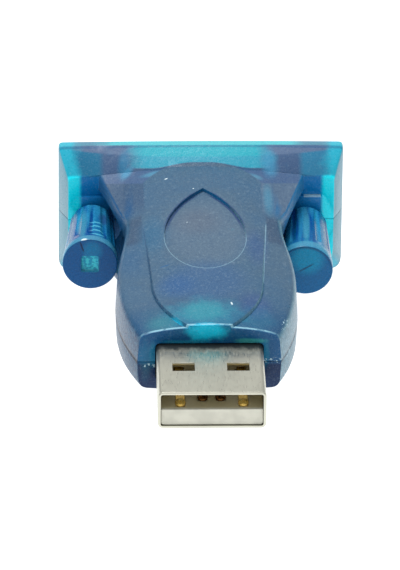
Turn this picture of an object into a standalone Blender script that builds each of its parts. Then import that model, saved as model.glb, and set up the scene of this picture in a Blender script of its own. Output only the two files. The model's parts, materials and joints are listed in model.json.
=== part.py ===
# USB to serial adapter: a moulded two-piece housing with a type A plug at its nose
# and a nine-pin D connector in its flared hood, held to its socket by two thumbscrews.
#
# Places are measured in the adapter's own axes: X to the right, Y from the plug's
# mouth towards the D connector, Z up from the connectors' common middle plane.
# The datum empty moves those axes so that the finished part stands on its own base.

import math

import bmesh
import bpy
from mathutils import Matrix, Vector

MM = 0.001

# Plug, type A
PLUG_WIDTH = 12.0 * MM
PLUG_HEIGHT = 4.5 * MM
PLUG_WALL = 0.3 * MM
PLUG_CORNER = 0.55 * MM
PLUG_LIP = 0.12 * MM
PLUG_REACH = 11.6 * MM
PLUG_TAIL = 6.8 * MM
WINDOW_WIDTH = 2.5 * MM
WINDOW_LENGTH = 1.95 * MM
WINDOW_SPACING = 6.1 * MM
WINDOW_FROM_MOUTH = 5.16 * MM
TONGUE_SETBACK = 0.25 * MM
TONGUE_LENGTH = 9.4 * MM
CONTACT_PITCHES = (-3.5 * MM, -1.0 * MM, 1.0 * MM, 3.5 * MM)
CONTACT_WIDTH = 1.0 * MM
CONTACT_THICKNESS = 0.24 * MM
OUTER_CONTACT_SETBACK = 1.0 * MM
INNER_CONTACT_SETBACK = 2.3 * MM
CONTACT_CHANNEL_HEIGHT = 0.36 * MM

# Housing
HOUSING_WALL = 1.3 * MM
PARTING_GAP = 0.08 * MM
BODY_LENGTH = 35.95 * MM
NOSE_WIDTH = 15.7 * MM
BELLY_WIDTH = 20.3 * MM
BELLY_AT = 12.6 * MM
SHOULDER_POWER = 2.1
WAIST_WIDTH = 18.0 * MM
WAIST_AT = 25.7 * MM
NECK_INSET = 0.5 * MM
FLANK_DRAFT = 0.25 * MM
NOSE_CROWN = 4.3 * MM
NOSE_EDGE = 2.95 * MM
WAIST_EDGE = 4.5 * MM
NECK_CROWN = 6.8 * MM
NECK_EDGE = 5.85 * MM
CROWN_POWER = 0.62
NOSE_KEEL = 3.5 * MM
NOSE_BILGE = 3.2 * MM
NECK_KEEL = 5.9 * MM
NECK_BILGE = 5.2 * MM
TOP_CORNER = 0.45 * MM
UNDER_CORNER = 0.8 * MM

# Raised panel on the upper shell, and the thumb recess in it
PANEL_NOSE_INSET = 5.55 * MM
PANEL_ARM_INSET = 3.85 * MM
PANEL_END_INSET = 1.9 * MM
PANEL_BEND = 8.8 * MM
PANEL_LENGTH = 23.1 * MM
PANEL_STEP = 0.3 * MM
PANEL_GROOVE = 0.14 * MM
PANEL_LINE = 0.14 * MM
RECESS_LENGTH = 18.6 * MM
RECESS_WIDTH = 9.4 * MM
RECESS_FROM_NOSE = 12.0 * MM
RECESS_ROUND = 0.4
RECESS_DEPTH = 0.42 * MM
RECESS_SHALLOW = 0.1 * MM

# Hood
HOOD_LENGTH = 4.0 * MM
HOOD_RIM = 1.15 * MM
HOOD_SIDE_WALL = 1.35 * MM
HOOD_TOP_WALL = 2.03 * MM
HOOD_UNDER_WALL = 1.8 * MM
HOOD_SIDE_FLARE = 1.15 * MM
HOOD_TOP_FLARE = 2.98 * MM
HOOD_UNDER_FLARE = 2.45 * MM
HOOD_ROOT_CROWN = 1.3 * MM
HOOD_RIM_CROWN = 0.12 * MM
HOOD_CORNER = 0.55 * MM
HOOD_UNDER_CORNER = 1.65 * MM
HOOD_EDGE = 0.2 * MM
BROW_HEIGHT = 0.05 * MM
BROW_SAG = 1.3 * MM
HOOD_BACK_WALL = 1.5 * MM
SCREW_BOSS_WIDTH = 3.4 * MM
SCREW_BOSS_HEIGHT = 6.26 * MM
SCREW_BOSS_PROUD = 0.3 * MM
FLANGE_LIP = 0.4 * MM
FLANGE_LIP_OVERLAP = 0.7 * MM

# D connector, nine pins
FLANGE_EAR = 2.9 * MM
FLANGE_HEIGHT = 12.5 * MM
FLANGE_CORNER = 1.2 * MM
FACE_PLATE = 0.5 * MM
REAR_PLATE = 0.4 * MM
D_WIDTH = 16.92 * MM
D_HEIGHT = 8.36 * MM
D_SLANT = math.radians(10.0)
D_CORNER = 2.6 * MM
D_WALL = 0.4 * MM
D_REACH = 5.9 * MM
JACK_FROM_D = 4.04 * MM
JACK_HOLE = 3.3 * MM
REAR_CUP_WALL = 0.8 * MM
REAR_CUP_DEPTH = 0.8 * MM
CORE_SIDE_INSET = 0.66 * MM
CORE_TOP_INSET = 0.28 * MM
CORE_CORNER = 1.2 * MM
CORE_DEPTH = 5.2 * MM
CORE_FACE = 0.4 * MM
PIN_DIAMETER = 1.0 * MM
PIN_PITCH = 2.77 * MM
PIN_ROW_SPACING = 2.84 * MM
PIN_SETBACK = 0.7 * MM
PIN_SHOULDER = 0.2 * MM
CUP_DIAMETER = 1.22 * MM
CUP_BORE = 0.8 * MM
CUP_LENGTH = 3.0 * MM

# Thumbscrews
KNOB_LENGTH = 10.7 * MM
KNOB_FRONT_DIAMETER = 6.54 * MM
KNOB_REAR_DIAMETER = 5.2 * MM
KNOB_COLLAR = 1.3 * MM
KNOB_FLUTES = 12
KNOB_FLUTE_DEPTH = 0.22 * MM
KNOB_EDGE = 0.15 * MM
KNOB_PLAY = 0.9 * MM
KNOB_RECESS = 2.2 * MM
KNOB_RECESS_DEPTH = 0.5 * MM
SCREW_DIAMETER = 2.84 * MM
SCREW_NECK = 1.9 * MM
SCREW_IN_KNOB = 6.6 * MM
SCREW_RINGS = 4
SCREW_RING_PITCH = 0.9 * MM
SCREW_TIP_SETBACK = 0.4 * MM
NECK_HOLE = 2.8 * MM
THUMB_CLEARANCE = 0.7 * MM
THUMB_POCKET_SPREAD = 0.28 * MM
THUMB_POCKET_STRETCH = 1.2
THUMB_DRAW = 2.0 * MM
THUMB_SEAT_SHIFT = {"left": (-0.15 * MM, 0.0), "right": (-0.1 * MM, -0.05 * MM)}
THUMB_LEAN = {"left": (2.0, 0.0), "right": (2.25, 3.3)}

# Board and what is on it
BOARD_WIDTH = 13.8 * MM
BOARD_TO_WALL = 0.4 * MM
BOARD_THICKNESS = 1.6 * MM
BOARD_GAP_TO_PLUG = 0.7 * MM
POST_WIDTH = 1.6 * MM
POST_INSET = 0.9 * MM
BRIDGE_LENGTH = 7.2 * MM
BRIDGE_WIDTH = 5.3 * MM
BRIDGE_HEIGHT = 1.7 * MM
BRIDGE_PITCH = 0.65 * MM
BRIDGE_LEGS = 10
DRIVER_LENGTH = 9.9 * MM
DRIVER_WIDTH = 3.9 * MM
DRIVER_HEIGHT = 1.55 * MM
DRIVER_PITCH = 1.27 * MM
DRIVER_LEGS = 8
LEG_REACH = 0.9 * MM
LEG_THICKNESS = 0.18 * MM
CRYSTAL_DIAMETER = 2.6 * MM
CRYSTAL_LENGTH = 7.6 * MM
CAPACITOR_LENGTH = 2.0 * MM
CAPACITOR_WIDTH = 1.25 * MM
CAPACITOR_HEIGHT = 0.9 * MM
RESISTOR_LENGTH = 1.6 * MM
RESISTOR_WIDTH = 0.8 * MM
RESISTOR_HEIGHT = 0.45 * MM
BRIDGE_FROM_PLUG_END = 7.4 * MM
DRIVER_FROM_CORE = 9.0 * MM
CAPACITOR_FROM_PLUG_END = 2.5 * MM
CAPACITOR_SPACING = 4.0 * MM
EDGE_PART_INSET = 0.4 * MM

# Clearances
CLEARANCE = 0.1 * MM
FINE_CLEARANCE = 0.05 * MM
SOLDER_GAP = 0.03 * MM
CUT_MARGIN = 1.0 * MM

# Sizes that follow from the ones above
JACK_SPACING = D_WIDTH + 2 * JACK_FROM_D
FLANGE_WIDTH = JACK_SPACING + 2 * FLANGE_EAR
HOOD_WIDTH = FLANGE_WIDTH + 2 * HOOD_SIDE_WALL
HOOD_RISE = FLANGE_HEIGHT / 2 + HOOD_TOP_WALL
HOOD_DROP = FLANGE_HEIGHT / 2 + HOOD_UNDER_WALL
NECK_WIDTH = JACK_SPACING - 2 * NECK_INSET
PANEL_NOSE_WIDTH = NOSE_WIDTH - 2 * PANEL_NOSE_INSET
PANEL_ARM_WIDTH = BELLY_WIDTH - 2 * PANEL_ARM_INSET
PANEL_END_WIDTH = WAIST_WIDTH - 2 * PANEL_END_INSET
CORE_WIDTH = D_WIDTH - 2 * CORE_SIDE_INSET
CORE_HEIGHT = D_HEIGHT - 2 * CORE_TOP_INSET
REAR_CUP_WIDTH = CORE_WIDTH + 2 * (CLEARANCE + REAR_CUP_WALL)
REAR_CUP_HEIGHT = CORE_HEIGHT + 2 * (CLEARANCE + REAR_CUP_WALL)

# Places that follow from the sizes above
NOSE_Y = PLUG_REACH
ROOT_Y = NOSE_Y + BODY_LENGTH
RIM_Y = ROOT_Y + HOOD_LENGTH - HOOD_RIM
FAR_Y = ROOT_Y + HOOD_LENGTH
FLANGE_FACE_Y = FAR_Y - FLANGE_LIP - CLEARANCE
FACE_PLATE_Y = FLANGE_FACE_Y - FACE_PLATE
REAR_PLATE_Y = FACE_PLATE_Y - FINE_CLEARANCE - REAR_PLATE
D_END_Y = FLANGE_FACE_Y + D_REACH
CORE_BACK_Y = FACE_PLATE_Y - CORE_DEPTH
CORE_FACE_Y = FACE_PLATE_Y + CORE_FACE
CUP_END_Y = CORE_BACK_Y - CUP_LENGTH
PLUG_END_Y = NOSE_Y + PLUG_TAIL
TONGUE_END_Y = TONGUE_SETBACK + TONGUE_LENGTH
BOARD_START_Y = PLUG_END_Y + BOARD_GAP_TO_PLUG
BOARD_END_Y = CORE_BACK_Y - CLEARANCE
BOARD_TOP = BOARD_THICKNESS / 2
WAIST_Y = NOSE_Y + WAIST_AT
BELLY_Y = NOSE_Y + BELLY_AT
KNOB_REAR_Y = ROOT_Y - KNOB_PLAY
KNOB_FRONT_Y = KNOB_REAR_Y - KNOB_LENGTH
SCREW_TIP_Y = D_END_Y - SCREW_TIP_SETBACK
THUMB_POCKET_Y = KNOB_FRONT_Y - THUMB_DRAW
THUMB_POCKET_FRONT = KNOB_FRONT_DIAMETER / 2 + THUMB_CLEARANCE + THUMB_POCKET_SPREAD
THUMB_POCKET_REAR = KNOB_REAR_DIAMETER / 2 + THUMB_CLEARANCE
JACK_X = JACK_SPACING / 2
POCKET_WALL = 0.8 * HOUSING_WALL
WAIST_HOLLOW = WAIST_WIDTH / 2 - HOUSING_WALL - TOP_CORNER / 2
REAR_HOLLOW = min(WAIST_HOLLOW, JACK_X - THUMB_POCKET_FRONT - POCKET_WALL)
REAR_BOARD_WIDTH = 2 * (REAR_HOLLOW - BOARD_TO_WALL)
REAR_BOARD_Y = THUMB_POCKET_Y - HOUSING_WALL
TOTAL_LENGTH = D_END_Y
BASE_DEPTH = HOOD_DROP


def clear_scene():
    for old in list(bpy.data.objects):
        bpy.data.objects.remove(old, do_unlink=True)


def make_material(name, colour, roughness, metallic=0.0, transmission=0.0):
    material = bpy.data.materials.new(name)
    material.use_nodes = True
    shader = material.node_tree.nodes["Principled BSDF"]
    shader.inputs["Base Color"].default_value = (*colour, 1.0)
    shader.inputs["Roughness"].default_value = roughness
    shader.inputs["Metallic"].default_value = metallic
    shader.inputs["Transmission Weight"].default_value = transmission
    return material


def add_object(name, bm, material, parent, smooth=True):
    bmesh.ops.recalc_face_normals(bm, faces=bm.faces)
    mesh = bpy.data.meshes.new(name)
    bm.to_mesh(mesh)
    bm.free()
    if smooth:
        mesh.shade_smooth()
        mesh.set_sharp_from_angle(angle=math.radians(32.0))
    obj = bpy.data.objects.new(name, mesh)
    bpy.context.scene.collection.objects.link(obj)
    obj.parent = parent
    if material:
        mesh.materials.append(material)
    else:
        obj.hide_render = True
        obj.display_type = "WIRE"
    return obj


def combine(target, tool, operation="DIFFERENCE"):
    modifier = target.modifiers.new(tool.name, "BOOLEAN")
    modifier.operation = operation
    modifier.solver = "EXACT"
    modifier.object = tool
    return target


def loft(rings):
    """A closed body through rings of points, each with as many points as the next."""
    bm = bmesh.new()
    loops = [[bm.verts.new(point) for point in ring] for ring in rings]
    for near, far in zip(loops, loops[1:]):
        for index, corner in enumerate(near):
            following = (index + 1) % len(near)
            bm.faces.new((corner, near[following], far[following], far[index]))
    bm.faces.new(loops[0])
    bm.faces.new(loops[-1])
    return bm


def turn(profile, segments):
    """A body turned about Y from (y, radius) points that start and end on the axis."""
    bm = bmesh.new()
    loops = []
    for y, radius in profile[1:-1]:
        loops.append([
            bm.verts.new((radius * math.sin(angle), y, radius * math.cos(angle)))
            for angle in (math.tau * step / segments for step in range(segments))
        ])
    for near, far in zip(loops, loops[1:]):
        for index, corner in enumerate(near):
            following = (index + 1) % segments
            bm.faces.new((corner, near[following], far[following], far[index]))
    for loop, (y, _) in ((loops[0], profile[0]), (loops[-1], profile[-1])):
        centre = bm.verts.new((0.0, y, 0.0))
        for index, corner in enumerate(loop):
            bm.faces.new((centre, loop[(index + 1) % segments], corner))
    return bm


def prism_y(outline, y_start, y_end):
    return loft([[(x, y, z) for x, z in outline] for y in (y_start, y_end)])


def box(x_range, y_range, z_range):
    (left, right), (low, high) = x_range, z_range
    return prism_y([(left, low), (right, low), (right, high), (left, high)], *y_range)


def cylinder_y(radius, y_start, y_end, segments=20, x=0.0, z=0.0, end_radius=None, stretch=1.0):
    """A round bar along Y, or a cone, or with a stretch a bar that is taller than wide."""
    end_radius = radius if end_radius is None else end_radius
    angles = [math.tau * step / segments for step in range(segments)]
    return loft([
        [(x + size * math.sin(angle), y, z + stretch * size * math.cos(angle)) for angle in angles]
        for y, size in ((y_start, radius), (y_end, end_radius))
    ])


def rounded_polygon(corners, radius, segments):
    """A convex outline of (x, z) corners, each turned through an arc of the radius."""
    points = []
    count = len(corners)
    for index in range(count):
        here = Vector(corners[index])
        before = (Vector(corners[index - 1]) - here).normalized()
        after = (Vector(corners[(index + 1) % count]) - here).normalized()
        half = before.angle(after) / 2
        centre = here + (before + after).normalized() * (radius / math.sin(half))
        start = here + before * (radius / math.tan(half)) - centre
        end = here + after * (radius / math.tan(half)) - centre
        sweep = start.angle_signed(end)
        for step in range(segments + 1):
            points.append(tuple(centre + Matrix.Rotation(-sweep * step / segments, 2) @ start))
    return points


def rounded_box_outline(width, height, radius, segments=4):
    x, z = width / 2, height / 2
    return rounded_polygon([(-x, -z), (x, -z), (x, z), (-x, z)], radius, segments)


def d_outline(grow=0.0, segments=5):
    """The D connector's keyed outline, wide side up, grown by a wall or a clearance."""
    height = D_HEIGHT / 2 + grow
    lean = height * math.tan(D_SLANT)
    middle = D_WIDTH / 2 + grow / math.cos(D_SLANT) - D_HEIGHT / 2 * math.tan(D_SLANT)
    corners = [(-middle + lean, -height), (middle - lean, -height), (middle + lean, height), (-middle - lean, height)]
    return rounded_polygon(corners, D_CORNER + grow, segments)


def share(y):
    """How far y lies from the nose to the hood's root, from 0 to 1."""
    return min(max((y - NOSE_Y) / BODY_LENGTH, 0.0), 1.0)


def half_width(y):
    """The upper edge of the flank: a shoulder, a belly, a waist, then a straight flare."""
    if y >= WAIST_Y:
        flare = (y - WAIST_Y) / (ROOT_Y - WAIST_Y)
        return (WAIST_WIDTH + (NECK_WIDTH - WAIST_WIDTH) * flare) / 2
    if y >= BELLY_Y:
        ease = (1 + math.cos(math.pi * (y - BELLY_Y) / (WAIST_Y - BELLY_Y))) / 2
        return (WAIST_WIDTH + (BELLY_WIDTH - WAIST_WIDTH) * ease) / 2
    short = min((BELLY_Y - y) / BELLY_AT, 1.0) ** SHOULDER_POWER
    return (BELLY_WIDTH - (BELLY_WIDTH - NOSE_WIDTH) * short) / 2


def edge_height(y):
    if y >= WAIST_Y:
        return WAIST_EDGE + (NECK_EDGE - WAIST_EDGE) * (y - WAIST_Y) / (ROOT_Y - WAIST_Y)
    return NOSE_EDGE + (WAIST_EDGE - NOSE_EDGE) * math.sin(math.pi / 2 * max(y - NOSE_Y, 0.0) / WAIST_AT)


def crown_height(y):
    return NOSE_CROWN + (NECK_CROWN - NOSE_CROWN) * math.sin(math.pi / 2 * share(y))


def top_height(x, y):
    """The upper shell's crowned surface: it fills the flanks to the waist, then runs on straight."""
    reach = half_width(min(y, WAIST_Y))
    inside = max(1 - (x / reach) ** 2, 0.0)
    return edge_height(y) + (crown_height(y) - edge_height(y)) * inside ** CROWN_POWER


def keel_height(x, y):
    """The lower shell's surface, as a depth below the middle plane."""
    bilge = NOSE_BILGE + (NECK_BILGE - NOSE_BILGE) * share(y)
    keel = NOSE_KEEL + (NECK_KEEL - NOSE_KEEL) * share(y)
    inside = max(1 - (x / half_width(y)) ** 2, 0.0)
    return bilge + (keel - bilge) * inside ** CROWN_POWER


def panel_half_width(y):
    """The raised panel's edge: narrow at the nose, bending out into two long arms."""
    along = y - NOSE_Y
    if along < PANEL_BEND:
        bend = math.sin(math.pi / 2 * max(along, 0.0) / PANEL_BEND) ** 0.85
        return (PANEL_NOSE_WIDTH + (PANEL_ARM_WIDTH - PANEL_NOSE_WIDTH) * bend) / 2
    arm = (along - PANEL_BEND) / (PANEL_LENGTH - PANEL_BEND)
    return (PANEL_ARM_WIDTH + (PANEL_END_WIDTH - PANEL_ARM_WIDTH) * min(arm, 1.0)) / 2


def panel_rise(y):
    """How proud the panel stands: most at the nose, nothing past the ends of its arms."""
    along = min(max((y - NOSE_Y) / PANEL_LENGTH, 0.0), 1.0)
    return PANEL_STEP * (1 - along) ** 1.5 + 0.25 * PANEL_STEP * math.sin(math.pi * along)


def panel_line_depth(y):
    along = min(max((y - NOSE_Y) / PANEL_LENGTH, 0.0), 1.0)
    return PANEL_GROOVE * math.sqrt(1 - along)


def curve_through(start, control, end, segments):
    """Points along a rounded corner, without its start."""
    points = []
    for step in range(1, segments + 1):
        t = step / segments
        points.append(tuple(
            (1 - t) ** 2 * a + 2 * t * (1 - t) * b + t * t * c for a, b, c in zip(start, control, end)
        ))
    return points


def upper_half_section(y):
    """The right half of the upper shell's section, from the middle out and down to the parting."""
    edge = panel_half_width(y)
    width = half_width(y)
    limit = width - TOP_CORNER
    rise = panel_rise(y)
    points = [(edge_x, top_height(edge_x, y) + rise) for edge_x in ((edge - PANEL_LINE) * step / 6 for step in range(7))]
    points.append((edge, top_height(edge, y) - panel_line_depth(y)))
    start = edge + PANEL_LINE
    crown_edge = half_width(min(y, WAIST_Y))
    shoulder = crown_edge - TOP_CORNER - 3 * PANEL_LINE
    for step in range(6):
        x = start + (shoulder - start) * math.sin(math.pi / 2 * step / 5)
        points.append((x, top_height(x, y)))
    foot = min(crown_edge, shoulder + (limit - shoulder) / 3)
    points += [(x, top_height(x, y)) for x in (foot, (foot + limit) / 2, limit)]
    top = edge_height(y)
    points += curve_through(points[-1], (width, top), (width + FLANK_DRAFT * TOP_CORNER / top, top - TOP_CORNER), 3)
    points.append((width + FLANK_DRAFT, PARTING_GAP / 2))
    return points


def lower_half_section(y):
    """The right half of the lower shell's section, from the middle out and up to the parting."""
    width = half_width(y)
    limit = width - UNDER_CORNER
    points = [(x, -keel_height(x, y)) for x in (limit * step / 7 for step in range(8))]
    under = keel_height(width, y)
    points += curve_through(points[-1], (width, -under), (width + FLANK_DRAFT / 2, UNDER_CORNER - under), 4)
    points.append((width + FLANK_DRAFT, -PARTING_GAP / 2))
    return points


def full_ring(half, y):
    """A closed ring from a right half that starts on the middle line."""
    return [(-x, y, z) for x, z in reversed(half[1:])] + [(x, y, z) for x, z in half]


def body_stations():
    """Stations from the nose to inside the hood, close together round the nose's shoulder."""
    shoulder = [NOSE_Y + BELLY_AT * (step / 10) ** 2 for step in range(11)]
    middle = [BELLY_Y + (WAIST_Y - BELLY_Y) * step / 7 for step in range(1, 8)]
    neck = [WAIST_Y + (ROOT_Y - WAIST_Y) * step / 4 for step in range(1, 5)]
    return shoulder + middle + neck + [RIM_Y]


def hood_half_section(y, width, reach, crown, corner, rise_at=None):
    """The right half of the hood's section, from the middle out and in to the parting.

    reach is its distance from the middle plane, and rise_at gives the y and the reach
    of a point across the top, for the brow's bowed line."""
    points = []
    for step in range(9):
        x = (width / 2 - corner) * step / 8
        top = reach + crown * (1 - (2 * x / width) ** 2)
        points.append((x, y, top) if rise_at is None else (x, *rise_at(x)))
    last_y = points[-1][1]
    wall_z = reach - corner
    for x, z in curve_through((points[-1][0], points[-1][2]), (width / 2, reach), (width / 2, wall_z), 5):
        points.append((x, last_y, z))
    points.append((width / 2, last_y, wall_z / 2))
    points.append((width / 2, last_y, PARTING_GAP / 2))
    return points


def hood_flare(y, upper):
    """Width, reach from the middle plane and crown of the hood's flare at y."""
    short = (RIM_Y - y) / (RIM_Y - ROOT_Y)
    reach, spread = (HOOD_RISE, HOOD_TOP_FLARE) if upper else (HOOD_DROP, HOOD_UNDER_FLARE)
    return (
        HOOD_WIDTH - 2 * HOOD_SIDE_FLARE * short,
        reach - spread * short,
        HOOD_RIM_CROWN + (HOOD_ROOT_CROWN - HOOD_RIM_CROWN) * short,
    )


def hood_brow(x):
    """The bowed line across the flare, lowest in the middle, where its slope eases."""
    across = abs(2 * x / HOOD_WIDTH)
    y = RIM_Y - BROW_SAG * (1 - across ** 2) - HOOD_EDGE
    _, reach, crown = hood_flare(y, True)
    return y, reach + (crown + BROW_HEIGHT) * (1 - across ** 2)


def hood_rings(upper):
    side, reach, corner = (1, HOOD_RISE, HOOD_CORNER) if upper else (-1, HOOD_DROP, HOOD_UNDER_CORNER)
    rim_crown = HOOD_RIM_CROWN if upper else 0.0
    root_width, root_reach, root_crown = hood_flare(ROOT_Y, upper)
    brow_width, brow_reach, _ = hood_flare(RIM_Y - HOOD_EDGE, upper)
    halves = [
        hood_half_section(ROOT_Y, root_width, root_reach, root_crown, corner),
        hood_half_section(RIM_Y - HOOD_EDGE, brow_width, brow_reach, 0.0, corner, hood_brow if upper else None),
        hood_half_section(RIM_Y, HOOD_WIDTH, reach, rim_crown, corner),
        hood_half_section(FAR_Y - HOOD_EDGE, HOOD_WIDTH, reach, rim_crown, corner),
        hood_half_section(FAR_Y, HOOD_WIDTH - 2 * HOOD_EDGE, reach - HOOD_EDGE, rim_crown, corner),
    ]
    rings = []
    for half in halves:
        left = [(-x, y, side * z) for x, y, z in reversed(half[1:])]
        rings.append(left + [(x, y, side * z) for x, y, z in half])
    return rings


def cavity_ring(y, half, wall=HOUSING_WALL):
    """The hollow's section: the outer skin set in by the wall, no wider than half each side."""
    steps = 8
    across = [-half + 2 * half * step / steps for step in range(steps + 1)]
    over = [(x, y, top_height(x, y) - wall) for x in across]
    under = [(x, y, wall - keel_height(x, y)) for x in reversed(across)]
    return over + under


def cavity_half_width(y):
    """Clear of the flanks, and further back of the thumbscrew pockets too."""
    flank = half_width(y) - HOUSING_WALL - TOP_CORNER / 2
    return min(flank, JACK_X - pocket_radius(y) - POCKET_WALL) if y >= REAR_BOARD_Y else flank


def pocket_radius(y):
    along = (y - THUMB_POCKET_Y) / (ROOT_Y - THUMB_POCKET_Y)
    return THUMB_POCKET_FRONT + (THUMB_POCKET_REAR - THUMB_POCKET_FRONT) * min(max(along, 0.0), 1.0)


def recess_outline(count=36):
    """The thumb recess seen from above: round at the nose end, pointed at the hood end."""
    points = []
    start = NOSE_Y + RECESS_FROM_NOSE
    widest = start + RECESS_LENGTH * RECESS_ROUND
    for step in range(count):
        angle = math.tau * step / count
        across = math.sin(angle)
        along = -math.cos(angle)
        if along < 0:
            points.append((RECESS_WIDTH / 2 * across, widest + RECESS_LENGTH * RECESS_ROUND * along))
        else:
            reach = RECESS_LENGTH * (1 - RECESS_ROUND)
            turn_in = 2 * math.asin(min(along, 1.0)) / math.pi
            side = math.copysign(1 - turn_in ** 1.75, across) if abs(across) > 1e-9 else 0.0
            points.append((RECESS_WIDTH / 2 * side, widest + reach * turn_in))
    return points


def recess_cutter(datum):
    """A block whose underside follows the crown, deepest at the pointed end."""
    outline = recess_outline()
    start = NOSE_Y + RECESS_FROM_NOSE
    centre = (0.0, start + RECESS_LENGTH * 0.5)
    bm = bmesh.new()

    def floor(x, y):
        along = (y - start) / RECESS_LENGTH
        depth = RECESS_SHALLOW + (RECESS_DEPTH - RECESS_SHALLOW) * along
        return top_height(x, y) + panel_rise(y) - depth

    rings = []
    for scale in (1.0, 0.66, 0.33):
        ring = []
        for x, y in outline:
            place = (centre[0] + (x - centre[0]) * scale, centre[1] + (y - centre[1]) * scale)
            ring.append(bm.verts.new((*place, floor(*place))))
        rings.append(ring)
    lid_height = NECK_CROWN + CUT_MARGIN
    lid = [bm.verts.new((x, y, lid_height)) for x, y in outline]
    rings.insert(0, lid)
    count = len(outline)
    for outer, inner in zip(rings, rings[1:]):
        for index in range(count):
            following = (index + 1) % count
            bm.faces.new((outer[index], outer[following], inner[following], inner[index]))
    middle = bm.verts.new((*centre, floor(*centre)))
    for index in range(count):
        bm.faces.new((rings[-1][index], rings[-1][(index + 1) % count], middle))
    bm.faces.new(lid)
    return add_object("recess_cutter", bm, None, datum)


def housing_cutters(datum):
    """What both shells are cut by: the hollow, the connectors' seats and the thumb pockets.

    The screws' neck holes come last, after the bosses that they pass through."""
    rib_front = PLUG_END_Y - 1.5 * HOUSING_WALL
    rib_rear = PLUG_END_Y - 0.5 * HOUSING_WALL
    front_start = NOSE_Y + HOUSING_WALL
    front = [front_start + (rib_front - front_start) * step / 3 for step in range(4)]
    step_y = REAR_BOARD_Y - CLEARANCE
    rear = [rib_rear + (step_y - rib_rear) * step / 4 for step in range(5)]
    rear += [REAR_BOARD_Y + (ROOT_Y - REAR_BOARD_Y) * step / 4 for step in range(5)]
    flange_width = FLANGE_WIDTH + 2 * CLEARANCE
    flange_height = FLANGE_HEIGHT + 2 * CLEARANCE
    seat_start = REAR_PLATE_Y - CLEARANCE
    hood_start = ROOT_Y + HOOD_BACK_WALL
    mouth_width = FLANGE_WIDTH - 2 * FLANGE_LIP_OVERLAP
    mouth_height = FLANGE_HEIGHT - 2 * FLANGE_LIP_OVERLAP
    slot = rounded_box_outline(PLUG_WIDTH + 2 * CLEARANCE, PLUG_HEIGHT + 2 * CLEARANCE, PLUG_CORNER, 3)
    core = rounded_box_outline(CORE_WIDTH + 2 * CLEARANCE, CORE_HEIGHT + 2 * CLEARANCE, CORE_CORNER, 3)
    shapes = {
        "front_hollow": loft([cavity_ring(y, cavity_half_width(y)) for y in front]),
        "rear_hollow": loft([cavity_ring(y, cavity_half_width(y)) for y in rear]),
        "plug_slot": prism_y(slot, NOSE_Y - CUT_MARGIN, PLUG_END_Y),
        "core_slot": prism_y(core, CORE_BACK_Y - CUT_MARGIN, hood_start + CLEARANCE),
        "hood_hollow": prism_y(
            rounded_box_outline(mouth_width, mouth_height, FLANGE_CORNER), hood_start, seat_start + FINE_CLEARANCE),
        "flange_seat": prism_y(
            rounded_box_outline(flange_width, flange_height, FLANGE_CORNER), seat_start, FLANGE_FACE_Y + CLEARANCE),
        "hood_mouth": prism_y(
            rounded_box_outline(mouth_width, mouth_height, FLANGE_CORNER), FLANGE_FACE_Y, FAR_Y + CUT_MARGIN),
    }
    for side, x in (("left", -JACK_X), ("right", JACK_X)):
        shapes[side + "_thumb_pocket"] = cylinder_y(
            THUMB_POCKET_FRONT, THUMB_POCKET_Y, ROOT_Y + FINE_CLEARANCE, 36, x,
            end_radius=THUMB_POCKET_REAR, stretch=THUMB_POCKET_STRETCH)
    holes = {
        side + "_neck_hole": cylinder_y(NECK_HOLE / 2, ROOT_Y - CUT_MARGIN, hood_start + CUT_MARGIN / 2, 20, x)
        for side, x in (("left", -JACK_X), ("right", JACK_X))
    }
    return [
        [add_object(name + "_cutter", bm, None, datum) for name, bm in group.items()] for group in (shapes, holes)
    ]


def screw_bosses(datum, upper):
    """The flat pads on the hood's near wall that the knobs close against."""
    bosses = []
    for side, x in (("left", -JACK_X), ("right", JACK_X)):
        z_range = (PARTING_GAP / 2, SCREW_BOSS_HEIGHT / 2)
        if not upper:
            z_range = tuple(-z for z in reversed(z_range))
        bm = box((x - SCREW_BOSS_WIDTH / 2, x + SCREW_BOSS_WIDTH / 2),
                 (ROOT_Y - SCREW_BOSS_PROUD, ROOT_Y + FINE_CLEARANCE), z_range)
        bosses.append(add_object("{}_boss_{}".format(side, "upper" if upper else "lower"), bm, None, datum))
    return bosses


def post_places():
    front = (BOARD_WIDTH / 2 - POST_INSET, BOARD_START_Y + POST_INSET)
    rear = (REAR_BOARD_WIDTH / 2 - POST_INSET, BOARD_END_Y - CUP_LENGTH - POST_INSET)
    return [(side * x, y) for x, y in (front, rear) for side in (-1, 1)]


def board_posts(datum, upper):
    """Four posts in each shell that hold the board between them."""
    posts = []
    for index, (x, y) in enumerate(post_places()):
        near = BOARD_TOP + CLEARANCE
        skin = top_height(x, y) if upper else keel_height(x, y)
        far = skin - HOUSING_WALL / 2
        z_range = (near, far) if upper else (-far, -near)
        half = POST_WIDTH / 2
        bm = box((x - half, x + half), (y - half, y + half), z_range)
        name = "post_{}_{}".format("upper" if upper else "lower", index)
        posts.append(add_object(name, bm, None, datum))
    return posts


def make_shell(name, upper, cutters, holes, material, datum):
    section = upper_half_section if upper else lower_half_section
    body = loft([full_ring(section(y), y) for y in body_stations()])
    shell = add_object(name, body, material, datum)
    hood = add_object(name + "_hood", loft(hood_rings(upper)), None, datum)
    combine(shell, hood, "UNION")
    for cutter in cutters:
        combine(shell, cutter)
    for stand in board_posts(datum, upper) + screw_bosses(datum, upper):
        combine(shell, stand, "UNION")
    for hole in holes:
        combine(shell, hole)
    return shell


def make_housing(materials, datum):
    cutters, holes = housing_cutters(datum)
    upper = make_shell("upper_shell", True, cutters, holes, materials["housing"], datum)
    combine(upper, recess_cutter(datum))
    make_shell("lower_shell", False, cutters, holes, materials["housing"], datum)


def plug_opening():
    return (PLUG_WIDTH - 2 * PLUG_WALL, PLUG_HEIGHT - 2 * PLUG_WALL)


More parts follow.
